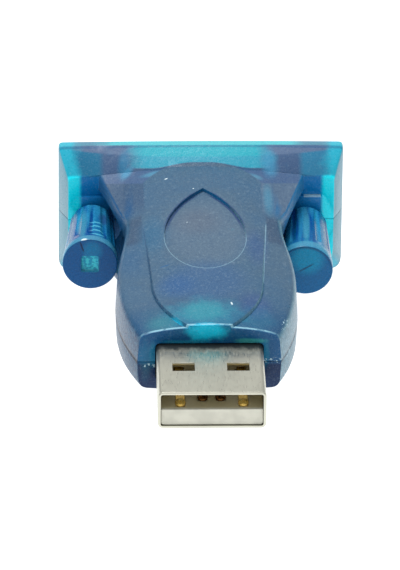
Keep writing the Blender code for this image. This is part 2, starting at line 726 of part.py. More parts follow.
def make_plug_shell(materials, datum):
    """A drawn steel tube with two latch windows above and two below."""
    lipped = (PLUG_WIDTH - 2 * PLUG_LIP, PLUG_HEIGHT - 2 * PLUG_LIP)
    rings = []
    for y, (width, height), radius in (
        (0.0, lipped, PLUG_CORNER - PLUG_LIP),
        (PLUG_LIP, (PLUG_WIDTH, PLUG_HEIGHT), PLUG_CORNER),
        (PLUG_END_Y, (PLUG_WIDTH, PLUG_HEIGHT), PLUG_CORNER),
    ):
        rings.append([(x, y, z) for x, z in rounded_box_outline(width, height, radius)])
    shell = add_object("usb_plug_shell", loft(rings), materials["plug_steel"], datum)
    inside = rounded_box_outline(*plug_opening(), PLUG_CORNER - PLUG_WALL)
    bore = add_object("plug_bore", prism_y(inside, -CUT_MARGIN, PLUG_END_Y + CUT_MARGIN), None, datum)
    combine(shell, bore)
    for side in (-1, 1):
        middle = side * WINDOW_SPACING / 2
        window = box(
            (middle - WINDOW_WIDTH / 2, middle + WINDOW_WIDTH / 2),
            (WINDOW_FROM_MOUTH, WINDOW_FROM_MOUTH + WINDOW_LENGTH),
            (-PLUG_HEIGHT, PLUG_HEIGHT),
        )
        combine(shell, add_object("plug_window_{}".format(side), window, None, datum))


def make_plug_insulator(materials, datum):
    """A tongue under the mouth and a full block behind it, with a channel for each contact."""
    width, height = (size - 2 * FINE_CLEARANCE for size in plug_opening())
    block = prism_y(rounded_box_outline(width, height, PLUG_CORNER - PLUG_WALL, 2), TONGUE_SETBACK,
                    PLUG_END_Y - CLEARANCE)
    insulator = add_object("usb_plug_insulator", block, materials["white_plastic"], datum)
    mouth = box((-width, width), (-CUT_MARGIN, TONGUE_END_Y), (0.0, height))
    combine(insulator, add_object("plug_mouth", mouth, None, datum))
    for index, x in enumerate(CONTACT_PITCHES):
        reach = CONTACT_WIDTH / 2 + FINE_CLEARANCE
        bm = box(
            (x - reach, x + reach),
            (contact_start(index) - CLEARANCE, PLUG_END_Y + CUT_MARGIN),
            (-CONTACT_THICKNESS / 2 - FINE_CLEARANCE, CONTACT_CHANNEL_HEIGHT),
        )
        combine(insulator, add_object("contact_channel_{}".format(index), bm, None, datum))


def contact_start(index):
    return OUTER_CONTACT_SETBACK if index in (0, len(CONTACT_PITCHES) - 1) else INNER_CONTACT_SETBACK


def contact_strip(start):
    """A stamped strip with a rounded nose, cranked up behind the plug to lie on the board."""
    half = CONTACT_THICKNESS / 2
    crank_y = PLUG_END_Y + CLEARANCE
    land_y = BOARD_START_Y + FINE_CLEARANCE
    lift = BOARD_TOP + SOLDER_GAP + half
    middle = [
        (start + 2 * half, 0.0),
        (crank_y, 0.0),
        (land_y, lift),
        (land_y + 5 * CONTACT_THICKNESS, lift),
    ]
    over = [(start, 0.0), (start + 0.6 * half, 0.8 * half)]
    over += [(y, z + half) for y, z in middle]
    under = [(y, z - half) for y, z in reversed(middle)]
    return over + under + [(start + 0.6 * half, -0.8 * half)]


def make_contacts(materials, datum):
    half = CONTACT_WIDTH / 2
    for index, x in enumerate(CONTACT_PITCHES):
        profile = contact_strip(contact_start(index))
        bm = loft([[(side, y, z) for y, z in profile] for side in (-half, half)])
        contact = add_object("usb_contact_{}".format(index + 1), bm, materials["gold"], datum)
        contact.location.x = x


def make_d_face_shell(materials, datum):
    """The drawn face plate with the keyed collar that the socket enters."""
    plate = prism_y(rounded_box_outline(FLANGE_WIDTH, FLANGE_HEIGHT, FLANGE_CORNER), FACE_PLATE_Y, FLANGE_FACE_Y)
    shell = add_object("dsub_face_shell", plate, materials["tin_steel"], datum)
    collar = prism_y(d_outline(D_WALL), FACE_PLATE_Y + FACE_PLATE / 2, D_END_Y)
    combine(shell, add_object("d_collar", collar, None, datum), "UNION")
    hollow = prism_y(d_outline(), FACE_PLATE_Y - CUT_MARGIN, D_END_Y + CUT_MARGIN)
    combine(shell, add_object("d_hollow", hollow, None, datum))
    for side, x in (("left", -JACK_X), ("right", JACK_X)):
        hole = cylinder_y(JACK_HOLE / 2, FACE_PLATE_Y - CUT_MARGIN, FLANGE_FACE_Y + CUT_MARGIN, 24, x)
        combine(shell, add_object("face_hole_" + side, hole, None, datum))


def make_d_rear_shell(materials, datum):
    """The second plate, with the shallow cup that holds the core from behind."""
    plate_end = REAR_PLATE_Y + REAR_PLATE
    plate = prism_y(rounded_box_outline(FLANGE_WIDTH, FLANGE_HEIGHT, FLANGE_CORNER), REAR_PLATE_Y, plate_end)
    shell = add_object("dsub_rear_shell", plate, materials["tin_steel"], datum)
    cup = rounded_box_outline(REAR_CUP_WIDTH, REAR_CUP_HEIGHT, CORE_CORNER + D_WALL)
    cup_start = REAR_PLATE_Y - REAR_CUP_DEPTH
    cup_body = prism_y(cup, cup_start, REAR_PLATE_Y + REAR_PLATE / 2)
    combine(shell, add_object("rear_cup", cup_body, None, datum), "UNION")
    core = rounded_box_outline(CORE_WIDTH + 2 * CLEARANCE, CORE_HEIGHT + 2 * CLEARANCE, CORE_CORNER + CLEARANCE)
    hollow = prism_y(core, cup_start - CUT_MARGIN, plate_end + CUT_MARGIN)
    combine(shell, add_object("rear_hollow", hollow, None, datum))
    for side, x in (("left", -JACK_X), ("right", JACK_X)):
        hole = cylinder_y(JACK_HOLE / 2, REAR_PLATE_Y - CUT_MARGIN, plate_end + CUT_MARGIN, 24, x)
        combine(shell, add_object("rear_hole_" + side, hole, None, datum))


def pin_places():
    """Five pins in the wide row above, four in the narrow row below."""
    rows = ((5, PIN_ROW_SPACING / 2), (4, -PIN_ROW_SPACING / 2))
    return [((step - (count - 1) / 2) * PIN_PITCH, z) for count, z in rows for step in range(count)]


def make_core(materials, datum):
    """The moulded block that carries the nine pins."""
    block = rounded_box_outline(CORE_WIDTH, CORE_HEIGHT, CORE_CORNER)
    core = add_object("dsub_core", prism_y(block, CORE_BACK_Y, FACE_PLATE_Y), materials["core_plastic"], datum)
    face = prism_y(d_outline(-CLEARANCE), FACE_PLATE_Y - FINE_CLEARANCE / 2, CORE_FACE_Y)
    combine(core, add_object("core_face", face, None, datum), "UNION")
    for index, (x, z) in enumerate(pin_places()):
        radius = PIN_DIAMETER / 2 + FINE_CLEARANCE
        hole = cylinder_y(radius, CORE_BACK_Y - CUT_MARGIN, CORE_FACE_Y + CUT_MARGIN, 12, x, z)
        combine(core, add_object("pin_hole_{}".format(index), hole, None, datum))


def pin_profile():
    radius = PIN_DIAMETER / 2
    tip = D_END_Y - PIN_SETBACK
    cup = CUP_DIAMETER / 2
    shoulder = CORE_BACK_Y - FINE_CLEARANCE
    bore_end = CUP_END_Y + 0.7 * CUP_LENGTH
    return [
        (tip, 0.0),
        (tip - 0.15 * radius, 0.55 * radius),
        (tip - radius, radius),
        (shoulder + PIN_SHOULDER / 4, radius),
        (shoulder, cup),
        (CUP_END_Y, cup),
        (CUP_END_Y, CUP_BORE / 2),
        (bore_end, CUP_BORE / 2),
        (bore_end, 0.0),
    ]


def make_pins(materials, datum):
    """Turned pins with solder cups that straddle the board, each cup cut away on its outer side."""
    for index, (x, z) in enumerate(pin_places()):
        pin = add_object("dsub_pin_{}".format(index + 1), turn(pin_profile(), 12), materials["pin_gold"], datum)
        pin.location = (x, 0.0, z)
        outer = CUP_DIAMETER if z > 0 else -CUP_DIAMETER
        z_range = (0.0, outer) if z > 0 else (outer, 0.0)
        gap = box((-CUP_DIAMETER, CUP_DIAMETER), (CUP_END_Y - CUT_MARGIN, CUP_END_Y + 0.5 * CUP_LENGTH), z_range)
        notch = add_object("cup_notch_{}".format(index), gap, None, datum)
        notch.location = pin.location
        combine(pin, notch)


def knob_radius(y, angle):
    """A taper towards the hood with shallow flutes that run out before the front collar."""
    along = y / KNOB_LENGTH
    radius = (KNOB_FRONT_DIAMETER + (KNOB_REAR_DIAMETER - KNOB_FRONT_DIAMETER) * along) / 2
    past_collar = min(max((y - KNOB_COLLAR) / (2 * KNOB_EDGE), 0.0), 1.0)
    wave = 0.5 + 0.5 * math.cos(KNOB_FLUTES * angle)
    return radius - KNOB_FLUTE_DEPTH * past_collar * wave


def make_knob(name, recess, materials, axis):
    """A moulded knob on its own axis, front face at 0 and the hood side at its length."""
    steps = KNOB_FLUTES * 4
    angles = [math.tau * step / steps for step in range(steps)]
    places = [0.0, KNOB_EDGE, KNOB_COLLAR, KNOB_COLLAR + KNOB_EDGE, KNOB_COLLAR + 2 * KNOB_EDGE]
    places += [KNOB_LENGTH / 2, KNOB_LENGTH - 2 * KNOB_EDGE, KNOB_LENGTH]
    rings = []
    for y in places:
        inset = KNOB_EDGE if y == 0.0 else 2 * KNOB_EDGE if y == KNOB_LENGTH else 0.0
        rings.append([
            ((knob_radius(y, angle) - inset) * math.sin(angle), y, (knob_radius(y, angle) - inset) * math.cos(angle))
            for angle in angles
        ])
    knob = add_object(name, loft(rings), materials["knob"], axis)
    bore_start = KNOB_LENGTH - SCREW_IN_KNOB - CLEARANCE
    bore = cylinder_y(SCREW_DIAMETER / 2 + FINE_CLEARANCE, bore_start, KNOB_LENGTH + CUT_MARGIN, 20)
    combine(knob, add_object(name + "_bore", bore, None, axis))
    if recess:
        half = KNOB_RECESS / 2
        corners = rounded_polygon([(-half, -half), (half, -half), (half, half), (-half, half)], half / 3, 2)
        mark = prism_y(corners, -CUT_MARGIN, KNOB_RECESS_DEPTH)
        combine(knob, add_object(name + "_recess", mark, None, axis))
    return knob


def screw_profile():
    """The screw from its ringed end in the knob, past its neck, to its threaded tip."""
    radius = SCREW_DIAMETER / 2
    neck = SCREW_NECK / 2
    start = KNOB_LENGTH - SCREW_IN_KNOB
    neck_start = KNOB_LENGTH - KNOB_EDGE
    thread_start = KNOB_LENGTH + KNOB_PLAY + HOOD_BACK_WALL + CLEARANCE
    tip = SCREW_TIP_Y - KNOB_FRONT_Y
    profile = [(start, 0.0), (start, 0.8 * radius)]
    for ring in range(SCREW_RINGS):
        y = start + (ring + 0.3) * SCREW_RING_PITCH
        profile += [(y, radius), (y + 0.35 * SCREW_RING_PITCH, radius), (y + 0.5 * SCREW_RING_PITCH, 0.8 * radius)]
    profile += [
        (neck_start - 0.3 * SCREW_RING_PITCH, 0.8 * radius),
        (neck_start - 0.3 * SCREW_RING_PITCH, neck),
        (thread_start, neck),
        (thread_start + (radius - neck), radius),
        (tip - 0.4 * radius, radius),
        (tip, 0.6 * radius),
        (tip, 0.0),
    ]
    return profile


def make_thumbscrews(materials, datum):
    for side, x in (("left", -JACK_X), ("right", JACK_X)):
        axis = bpy.data.objects.new(side + "_thumb_axis", None)
        bpy.context.scene.collection.objects.link(axis)
        axis.parent = datum
        sideways, upwards = (math.radians(lean) for lean in THUMB_LEAN[side])
        axis.rotation_euler = (upwards, 0.0, -sideways)
        seat = Vector((x + THUMB_SEAT_SHIFT[side][0], FLANGE_FACE_Y, THUMB_SEAT_SHIFT[side][1]))
        axis.location = seat - axis.rotation_euler.to_matrix() @ Vector((0.0, FLANGE_FACE_Y - KNOB_FRONT_Y, 0.0))
        make_knob(side + "_knob", side == "left", materials, axis)
        add_object(side + "_screw", turn(screw_profile(), 20), materials["screw_steel"], axis)


def make_board(materials, datum):
    """The circuit board, which narrows to pass between the thumbscrew pockets."""
    front, rear = BOARD_WIDTH / 2, REAR_BOARD_WIDTH / 2
    step_y = REAR_BOARD_Y - 2 * CLEARANCE - abs(front - rear)
    right = [(front, BOARD_START_Y), (front, step_y), (rear, REAR_BOARD_Y - 2 * CLEARANCE), (rear, BOARD_END_Y)]
    outline = right + [(-x, y) for x, y in reversed(right)]
    bm = loft([[(x, y, z) for x, y in outline] for z in (-BOARD_TOP, BOARD_TOP)])
    add_object("circuit_board", bm, materials["board"], datum, smooth=False)


def chip_legs(length, width, height, pitch, count):
    """Gull-wing legs down both long sides, as one mesh of separate legs."""
    bm = bmesh.new()
    half = width / 2
    mid = height / 2
    thick = LEG_THICKNESS
    for side in (-1, 1):
        profile = [
            (half - 2 * thick, mid),
            (half + LEG_REACH / 3, mid),
            (half + LEG_REACH / 3 + thick, thick),
            (half + LEG_REACH, thick),
            (half + LEG_REACH, 0.0),
            (half + LEG_REACH / 3, 0.0),
            (half + LEG_REACH / 3 - thick, mid - thick),
            (half - 2 * thick, mid - thick),
        ]
        for step in range(count):
            y = (step - (count - 1) / 2) * pitch
            loops = [
                [bm.verts.new((side * x, y + across, z)) for x, z in profile] for across in (-pitch / 6, pitch / 6)
            ]
            total = len(profile)
            for index in range(total):
                following = (index + 1) % total
                bm.faces.new((loops[0][index], loops[0][following], loops[1][following], loops[1][index]))
            bm.faces.new(loops[0])
            bm.faces.new(loops[1])
    return bm


def seat_on_board(piece, place, below=False):
    """Stands a part, made with its foot at z = 0, on the board's upper side or under side."""
    stand = BOARD_TOP + SOLDER_GAP
    piece.location = (*place, -stand if below else stand)
    if below:
        piece.rotation_euler.y = math.pi


def make_chip(name, size, pitch, count, place, below, materials, datum):
    """A moulded chip with drafted sides on its row of legs."""
    length, width, height = size
    waist = height / 2
    rings = []
    for z, draft in ((0.08 * height, 0.06 * height), (waist, 0.0), (height, 0.12 * height)):
        x, y = width / 2 - draft, length / 2 - draft
        rings.append([(-x, -y, z), (x, -y, z), (x, y, z), (-x, y, z)])
    chip = add_object(name, loft(rings), materials["chip"], datum, smooth=False)
    legs = add_object(name + "_legs", chip_legs(length, width, height, pitch, count), None, datum)
    for piece in (chip, legs):
        seat_on_board(piece, place, below)
    combine(chip, legs, "UNION")


def make_small_part(name, size, place, below, material, datum):
    """A chip capacitor or resistor, a small block with its edges taken off."""
    width, length, height = size
    bm = box((-width / 2, width / 2), (-length / 2, length / 2), (0.0, height))
    bmesh.ops.bevel(bm, geom=bm.edges[:], offset=FINE_CLEARANCE, segments=1, affect="EDGES")
    seat_on_board(add_object(name, bm, material, datum, smooth=False), place, below)


def make_components(materials, datum):
    """The bridge chip, its crystal and capacitors on top, the line driver and its resistors below."""
    bridge_y = BOARD_START_Y + BRIDGE_FROM_PLUG_END
    driver_y = BOARD_END_Y - DRIVER_FROM_CORE
    make_chip("bridge_chip", (BRIDGE_LENGTH, BRIDGE_WIDTH, BRIDGE_HEIGHT), BRIDGE_PITCH, BRIDGE_LEGS,
              (0.0, bridge_y), False, materials, datum)
    make_chip("driver_chip", (DRIVER_LENGTH, DRIVER_WIDTH, DRIVER_HEIGHT), DRIVER_PITCH, DRIVER_LEGS,
              (0.0, driver_y), True, materials, datum)
    radius = CRYSTAL_DIAMETER / 2
    profile = [(0.0, 0.0), (0.0, 0.85 * radius), (0.15 * radius, radius), (CRYSTAL_LENGTH - 0.3 * radius, radius),
               (CRYSTAL_LENGTH, 0.8 * radius), (CRYSTAL_LENGTH, 0.0)]
    crystal = add_object("crystal_can", turn(profile, 16), materials["can"], datum)
    crystal.location = (-BOARD_WIDTH / 2 + radius, bridge_y - CRYSTAL_LENGTH / 2, BOARD_TOP + SOLDER_GAP + radius)
    edge_x = BOARD_WIDTH / 2 - EDGE_PART_INSET - CAPACITOR_WIDTH / 2
    places = [(x, BOARD_START_Y + CAPACITOR_FROM_PLUG_END) for x in (-CAPACITOR_SPACING, 0.0, CAPACITOR_SPACING)]
    places += [(edge_x, bridge_y + side * CAPACITOR_LENGTH) for side in (-1, 1)]
    for index, place in enumerate(places):
        size = (CAPACITOR_WIDTH, CAPACITOR_LENGTH, CAPACITOR_HEIGHT)
        make_small_part("capacitor_{}".format(index + 1), size, place, False, materials["ceramic"], datum)
    for index, side in enumerate((-1, 1)):
        size = (RESISTOR_WIDTH, RESISTOR_LENGTH, RESISTOR_HEIGHT)
        place = (side * (REAR_BOARD_WIDTH / 2 - EDGE_PART_INSET - RESISTOR_WIDTH / 2), driver_y)
        make_small_part("resistor_{}".format(index + 1), size, place, True, materials["chip"], datum)


def make_materials():
    return {
        "housing": make_material("blue_housing", (0.03, 0.18, 0.36), 0.35, transmission=0.6),
        "knob": make_material("blue_knob", (0.02, 0.16, 0.42), 0.2, transmission=0.7),
        "plug_steel": make_material("nickel_steel", (0.62, 0.6, 0.54), 0.3, 1.0),
        "tin_steel": make_material("tin_steel", (0.66, 0.66, 0.64), 0.35, 1.0),
        "screw_steel": make_material("screw_steel", (0.6, 0.6, 0.6), 0.3, 1.0),
        "white_plastic": make_material("white_plastic", (0.8, 0.8, 0.74), 0.45),
        "core_plastic": make_material("black_plastic", (0.02, 0.02, 0.022), 0.5),
        "gold": make_material("contact_gold", (0.83, 0.6, 0.25), 0.25, 1.0),
        "pin_gold": make_material("pin_gold", (0.8, 0.62, 0.32), 0.25, 1.0),
        "board": make_material("board_green", (0.02, 0.16, 0.07), 0.5),
        "chip": make_material("chip_black", (0.02, 0.02, 0.02), 0.6),
        "can": make_material("can_steel", (0.6, 0.6, 0.6), 0.3, 1.0),
        "ceramic": make_material("ceramic", (0.42, 0.28, 0.16), 0.5),
    }


def main():
    clear_scene()
    datum = bpy.data.objects.new("adapter_datum", None)
    bpy.context.scene.collection.objects.link(datum)
    datum.location = (0.0, -TOTAL_LENGTH / 2, BASE_DEPTH)
    materials = make_materials()
    make_housing(materials, datum)
    make_plug_shell(materials, datum)
    make_plug_insulator(materials, datum)
    make_contacts(materials, datum)
    make_d_face_shell(materials, datum)
    make_d_rear_shell(materials, datum)
    make_core(materials, datum)
    make_pins(materials, datum)
    make_thumbscrews(materials, datum)
    make_board(materials, datum)
    make_components(materials, datum)


main()
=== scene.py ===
"""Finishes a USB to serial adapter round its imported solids: a moulded blue housing in two
halves, a nickel plug, a nine-pin D connector, two thumbscrews and the stage they stand on."""

import json
import math

import bpy
from bpy.props import FloatProperty, FloatVectorProperty, IntProperty, PointerProperty
from mathutils import Matrix, Vector


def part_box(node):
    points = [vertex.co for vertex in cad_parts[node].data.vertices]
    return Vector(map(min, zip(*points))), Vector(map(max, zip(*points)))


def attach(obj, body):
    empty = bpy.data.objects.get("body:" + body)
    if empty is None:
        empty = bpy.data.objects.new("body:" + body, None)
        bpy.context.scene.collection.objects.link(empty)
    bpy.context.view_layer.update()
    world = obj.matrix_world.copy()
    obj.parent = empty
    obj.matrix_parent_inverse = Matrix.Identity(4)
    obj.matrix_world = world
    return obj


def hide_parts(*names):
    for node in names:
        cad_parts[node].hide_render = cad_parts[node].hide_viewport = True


bl_info = {
    "name": "Serial adapter finisher",
    "version": (1, 0, 0),
    "blender": (4, 5, 0),
    "location": "View3D > Sidebar > Adapter",
    "description": "Models the fine surfaces and finishes of a USB to serial adapter",
    "category": "Object",
}

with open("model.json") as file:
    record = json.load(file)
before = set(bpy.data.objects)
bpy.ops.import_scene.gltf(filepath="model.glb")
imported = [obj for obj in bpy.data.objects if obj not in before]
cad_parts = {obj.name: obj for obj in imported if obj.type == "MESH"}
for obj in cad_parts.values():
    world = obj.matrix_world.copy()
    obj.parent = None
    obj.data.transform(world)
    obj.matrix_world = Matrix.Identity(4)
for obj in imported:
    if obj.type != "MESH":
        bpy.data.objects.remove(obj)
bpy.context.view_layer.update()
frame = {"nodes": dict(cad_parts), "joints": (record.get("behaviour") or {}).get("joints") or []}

MM = 0.001
HOUSING_BODY = "adapter"
EDGE_SLOT = 1
PLUG_MOUTH_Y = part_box("usb_plug_shell")[0].y
MIDDLE_Z = sum(corner.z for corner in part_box("usb_plug_shell")) / 2
JOINTS = {joint["child"]: joint for joint in frame["joints"]}

# Places and sizes on the adapter, in millimetres from the middle of the plug's mouth
ROOT_Y = 47.55
ROOT_EDGE_Z = 5.27
HOOD_CROWN = 1.3
HOOD_ROOT_HALF = 15.6
HOOD_RIM_HALF = 16.75
BROW_Y = 48.9
RECESS_WIDEST_Y = 31.04
RECESS_HALF = 4.7
RECESS_FOOT = 7.44
RECESS_POINT = 11.16
ARM_FOOT = (6.3, 20.4)
ARM_LEAN = 0.8 / 14.3
UP_SLOPE = (0.4548, 0.8906)
DOME_TOP = 28.24
FAR = 900.0

# The powers by which the recess's pointed end narrows, in the solid and when finished
SOLID_POINT_POWER = 1.75
POINT_POWER = 2.2

# The thumbscrews, in millimetres from the knob's front face
KNOB_LENGTH = 10.7
KNOB_FRONT = 3.21
KNOB_REAR = 2.53
KNOB_EDGE = 0.15
KNOB_COLLAR = 1.3
KNOB_COLLAR_END = 1.5
FLUTE_START = 2.2
FLUTE_ROD = 0.8
BORE_START = 4.0
BORE_RADIUS = 1.47
KNOB_RECESS = 2.1
KNOB_RECESS_DEPTH = 0.5
SCREW_RADIUS = 1.42
SCREW_ROOT = 0.8
SCREW_START = 4.1
SCREW_RINGS = 6
RING_PITCH = 0.95
NECK_START = 10.3
NECK_RADIUS = 0.95
THREAD_START = 13.7
THREAD_FOOT = 0.9
THREAD_CREST = 0.14
SCREW_TIP = 20.55

# The D connector's pins
PIN_RADIUS = 0.5
PIN_ROW = 1.42
CUP_RADIUS = 0.61
CUP_LENGTH = 3.0

# The stage: the lamp in metres, the camera's place in millimetres and its angles in degrees
LAMP_PLACE = (-0.12, 0.12, 0.55)
LAMP_SIZE = 0.3
CAMERA_PLACE = (-19.46, -584.58, 314.24)
CAMERA_ANGLES = (1.76, 27.05, 0.57)
CAMERA_LENS = 378.95


def srgb(red, green, blue):
    """A colour given from 0 to 255, as the linear values that shaders take."""
    channels = []
    for value in (red, green, blue):
        value /= 255
        channels.append(value / 12.92 if value <= 0.04045 else ((value + 0.055) / 1.055) ** 2.4)
    return tuple(channels)


def place(x, y, z):
    """A point in millimetres from the middle of the plug's mouth, in the frame's metres."""
    return Vector((x * MM, PLUG_MOUTH_Y + y * MM, MIDDLE_Z + z * MM))


def colour_setting(name, description, default):
    return FloatVectorProperty(name=name, description=description, subtype="COLOR", size=3,
                               min=0.0, max=1.0, default=default)


def share_setting(name, description, default):
    return FloatProperty(name=name, description=description, subtype="FACTOR",
                         min=0.0, max=1.0, default=default)


def light_setting(name, description, default):
    return FloatProperty(name=name, description=description, min=0.0, max=5.0, default=default)


def size_setting(name, description, default, least=0.0, most=1.0):
    """A length whose default and limits are given in millimetres."""
    return FloatProperty(name=name, description=description, subtype="DISTANCE", unit="LENGTH",
                         min=least * MM, max=most * MM, default=default * MM)


class HousingLook(bpy.types.PropertyGroup):
    deep: colour_setting("Deep colour", "The plastic where it is thick or backed by the board",
                         srgb(14, 84, 134))
    clear: colour_setting("Clear colour", "The plastic where light comes through it",
                          srgb(30, 182, 208))
    lit: colour_setting("Lit colour", "The hood's inner wall, near its free edge",
                        srgb(0, 236, 255))
    # The upper face's grey: the matte grain's own tone with a painted sheen of reflected light
    grey: colour_setting("Sheen colour", "The worn matte film on the upper face",
                         srgb(66, 95, 118))
    blue: colour_setting("Blue", "The bluer film away from the middle", srgb(38, 90, 130))
    # The pale edge line: wear from handling, with a painted highlight along the rounded edges
    edge_colour: colour_setting("Edge colour", "The pale line worn along the edges",
                                srgb(150, 190, 208))
    roughness: share_setting("Roughness", "How matte the moulded grain is", 0.34)
    transmission: share_setting("Transmission", "How much light passes the walls", 0.15)
    gloss: share_setting("Gloss", "How strongly the surface mirrors its surroundings", 0.2)
    grain: size_setting("Grain", "Size of the moulded grain", 0.16, 0.02)
    edge: size_setting("Edge round", "Round on the moulded edges", 0.1)


class PlugLook(bpy.types.PropertyGroup):
    nickel: colour_setting("Nickel", "The plug shell's plating", srgb(196, 196, 182))
    plastic: colour_setting("Insulator", "The white carrier of the contacts",
                            srgb(208, 208, 194))
    gold: colour_setting("Gold", "The contacts' plating", srgb(250, 212, 112))
    edge: size_setting("Edge round", "Round on the drawn edges", 0.05)


class ScrewLook(bpy.types.PropertyGroup):
    blue: colour_setting("Knob colour", "The knobs' clear blue plastic", srgb(0, 70, 142))
    pale: colour_setting("Streak colour", "The paler streaks where light runs along a knob",
                         srgb(38, 134, 180))
    transmission: share_setting("Transmission", "How much light passes a knob", 0.2)
    roughness: share_setting("Knob roughness", "How matte the knobs are", 0.22)
    gloss: share_setting("Knob gloss", "How strongly the knobs mirror their surroundings", 0.12)
    flutes: IntProperty(name="Flutes", description="Grip flutes round a knob",
                        min=6, max=24, default=12)
    flute_depth: size_setting("Flute depth", "How deep each flute is cut", 0.22)
    pitch: size_setting("Thread pitch", "From one thread to the next", 0.635, 0.2, 2.0)


class ConnectorLook(bpy.types.PropertyGroup):
    steel: colour_setting("Steel", "The D connector's plating", srgb(172, 172, 168))
    core: colour_setting("Core", "The block that carries the pins", srgb(28, 30, 34))
    edge: size_setting("Edge round", "Round on the drawn edges", 0.06)


class StageLook(bpy.types.PropertyGroup):
    paper: colour_setting("Paper", "The floor's colour", (0.35, 0.35, 0.35))
    paper_light: light_setting("Paper light", "How strongly the floor shines, to keep it white",
                               1.0)
    sky: light_setting("Sky", "Strength of the even light from above", 1.0)
    lamp: light_setting("Lamp", "Power of the soft lamp above, in watts", 2.6)
    horizon: share_setting("Horizon", "The sky's share that is left at the horizon", 0.4)


def deselect_all():
    if bpy.context.object and bpy.context.object.mode != "OBJECT":
        bpy.ops.object.mode_set(mode="OBJECT")
    bpy.ops.object.select_all(action="DESELECT")


def activate(obj):
    deselect_all()
    obj.select_set(True)
    bpy.context.view_layer.objects.active = obj


def apply_modifiers(obj):
    activate(obj)
    for modifier in list(obj.modifiers):
        bpy.ops.object.modifier_apply(modifier=modifier.name)


def settle(obj):
    """Puts the object's place into its mesh, so that it sits unturned at the origin."""
    activate(obj)
    bpy.ops.object.transform_apply(location=True, rotation=True, scale=True)


def edit_all(obj):
    """Goes into edit mode with the whole mesh selected."""
    activate(obj)
    bpy.ops.object.mode_set(mode="EDIT")
    bpy.ops.mesh.select_all(action="SELECT")


def edit_chosen(obj, chosen):
    """Goes into edit mode with only the vertices of the chosen indices selected."""
    for vertex in obj.data.vertices:
        vertex.select = vertex.index in chosen
    for edge in obj.data.edges:
        edge.select = all(index in chosen for index in edge.vertices)
    for polygon in obj.data.polygons:
        polygon.select = all(index in chosen for index in polygon.vertices)
    bpy.ops.object.mode_set(mode="EDIT")


def move_vertices(obj, chosen, offset):
    edit_chosen(obj, chosen)
    bpy.ops.transform.translate(value=offset)
    bpy.ops.object.mode_set(mode="OBJECT")


def hand_over(obj, body, material, node, edge_material=None):
    """Dresses a finished piece and has it ride, in place of the solid it stands for."""
    faces_of_edges = [polygon.index for polygon in obj.data.polygons
                      if polygon.material_index == EDGE_SLOT]
    obj.data.materials.clear()
    obj.data.materials.append(material)
    if edge_material:
        obj.data.materials.append(edge_material)
        for index in faces_of_edges:
            obj.data.polygons[index].material_index = EDGE_SLOT
    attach(obj, body)
    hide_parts(node)


def copy_solid(node, name, flat_angle=1.0):
    """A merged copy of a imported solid; flat_angle joins the triangles of its flat faces."""
    source = frame["nodes"][node]
    obj = bpy.data.objects.new(name, source.data.copy())
    bpy.context.scene.collection.objects.link(obj)
    activate(obj)
    if obj.data.has_custom_normals:
        bpy.ops.mesh.customdata_custom_splitnormals_clear()
    edit_all(obj)
    bpy.ops.mesh.remove_doubles(threshold=1e-7)
    bpy.ops.mesh.dissolve_limited(angle_limit=math.radians(flat_angle))
    bpy.ops.object.mode_set(mode="OBJECT")
    return obj


def tell_edges(obj, width):
    """Keeps the edges' material on narrow faces of outer edges, so that none shows as a patch
    or in a crease."""
    mesh = obj.data
    patch_share = 0.6
    beside = {}
    for polygon in mesh.polygons:
        for key in polygon.edge_keys:
            beside.setdefault(key, []).append(polygon)
    for polygon in mesh.polygons:
        if polygon.material_index != EDGE_SLOT:
            continue
        corners = [mesh.vertices[index].co for index in polygon.vertices]
        around = sum((corner - corners[index - 1]).length
                     for index, corner in enumerate(corners))
        neighbours = [other for key in polygon.edge_keys for other in beside[key]]
        rise = sum((other.center - polygon.center).dot(polygon.normal) for other in neighbours)
        if polygon.area > patch_share * width * around or rise > 0:
            polygon.material_index = 0


def round_edges(obj, width, angle=35.0, segments=2, mark=False):
    """Rounds the edges sharper than the angle; mark puts the new faces in the edges' slot."""
    bevel = obj.modifiers.new("edge_round", "BEVEL")
    if mark:
        for slot in range(EDGE_SLOT + 1 - len(obj.data.materials)):
            obj.data.materials.append(None)
        bevel.material = EDGE_SLOT
    bevel.width = width
    bevel.segments = segments
    bevel.limit_method = "ANGLE"
    bevel.angle_limit = math.radians(angle)
    bevel.miter_outer = "MITER_ARC"
    apply_modifiers(obj)
    if mark:
        tell_edges(obj, width)


def smooth(obj, angle=32.0, weighted=True):
    activate(obj)
    bpy.ops.object.shade_smooth_by_angle(angle=math.radians(angle))
    if weighted:
        normals = obj.modifiers.new("even_normals", "WEIGHTED_NORMAL")
        normals.keep_sharp = True
        apply_modifiers(obj)


def dress(node, name, finish, edge):
    """Rounds and smooths a copy of one of the adapter's solids, and hands it over."""
    piece = copy_solid(node, name)
    round_edges(piece, edge)
    smooth(piece)
    hand_over(piece, HOUSING_BODY, finish, node)


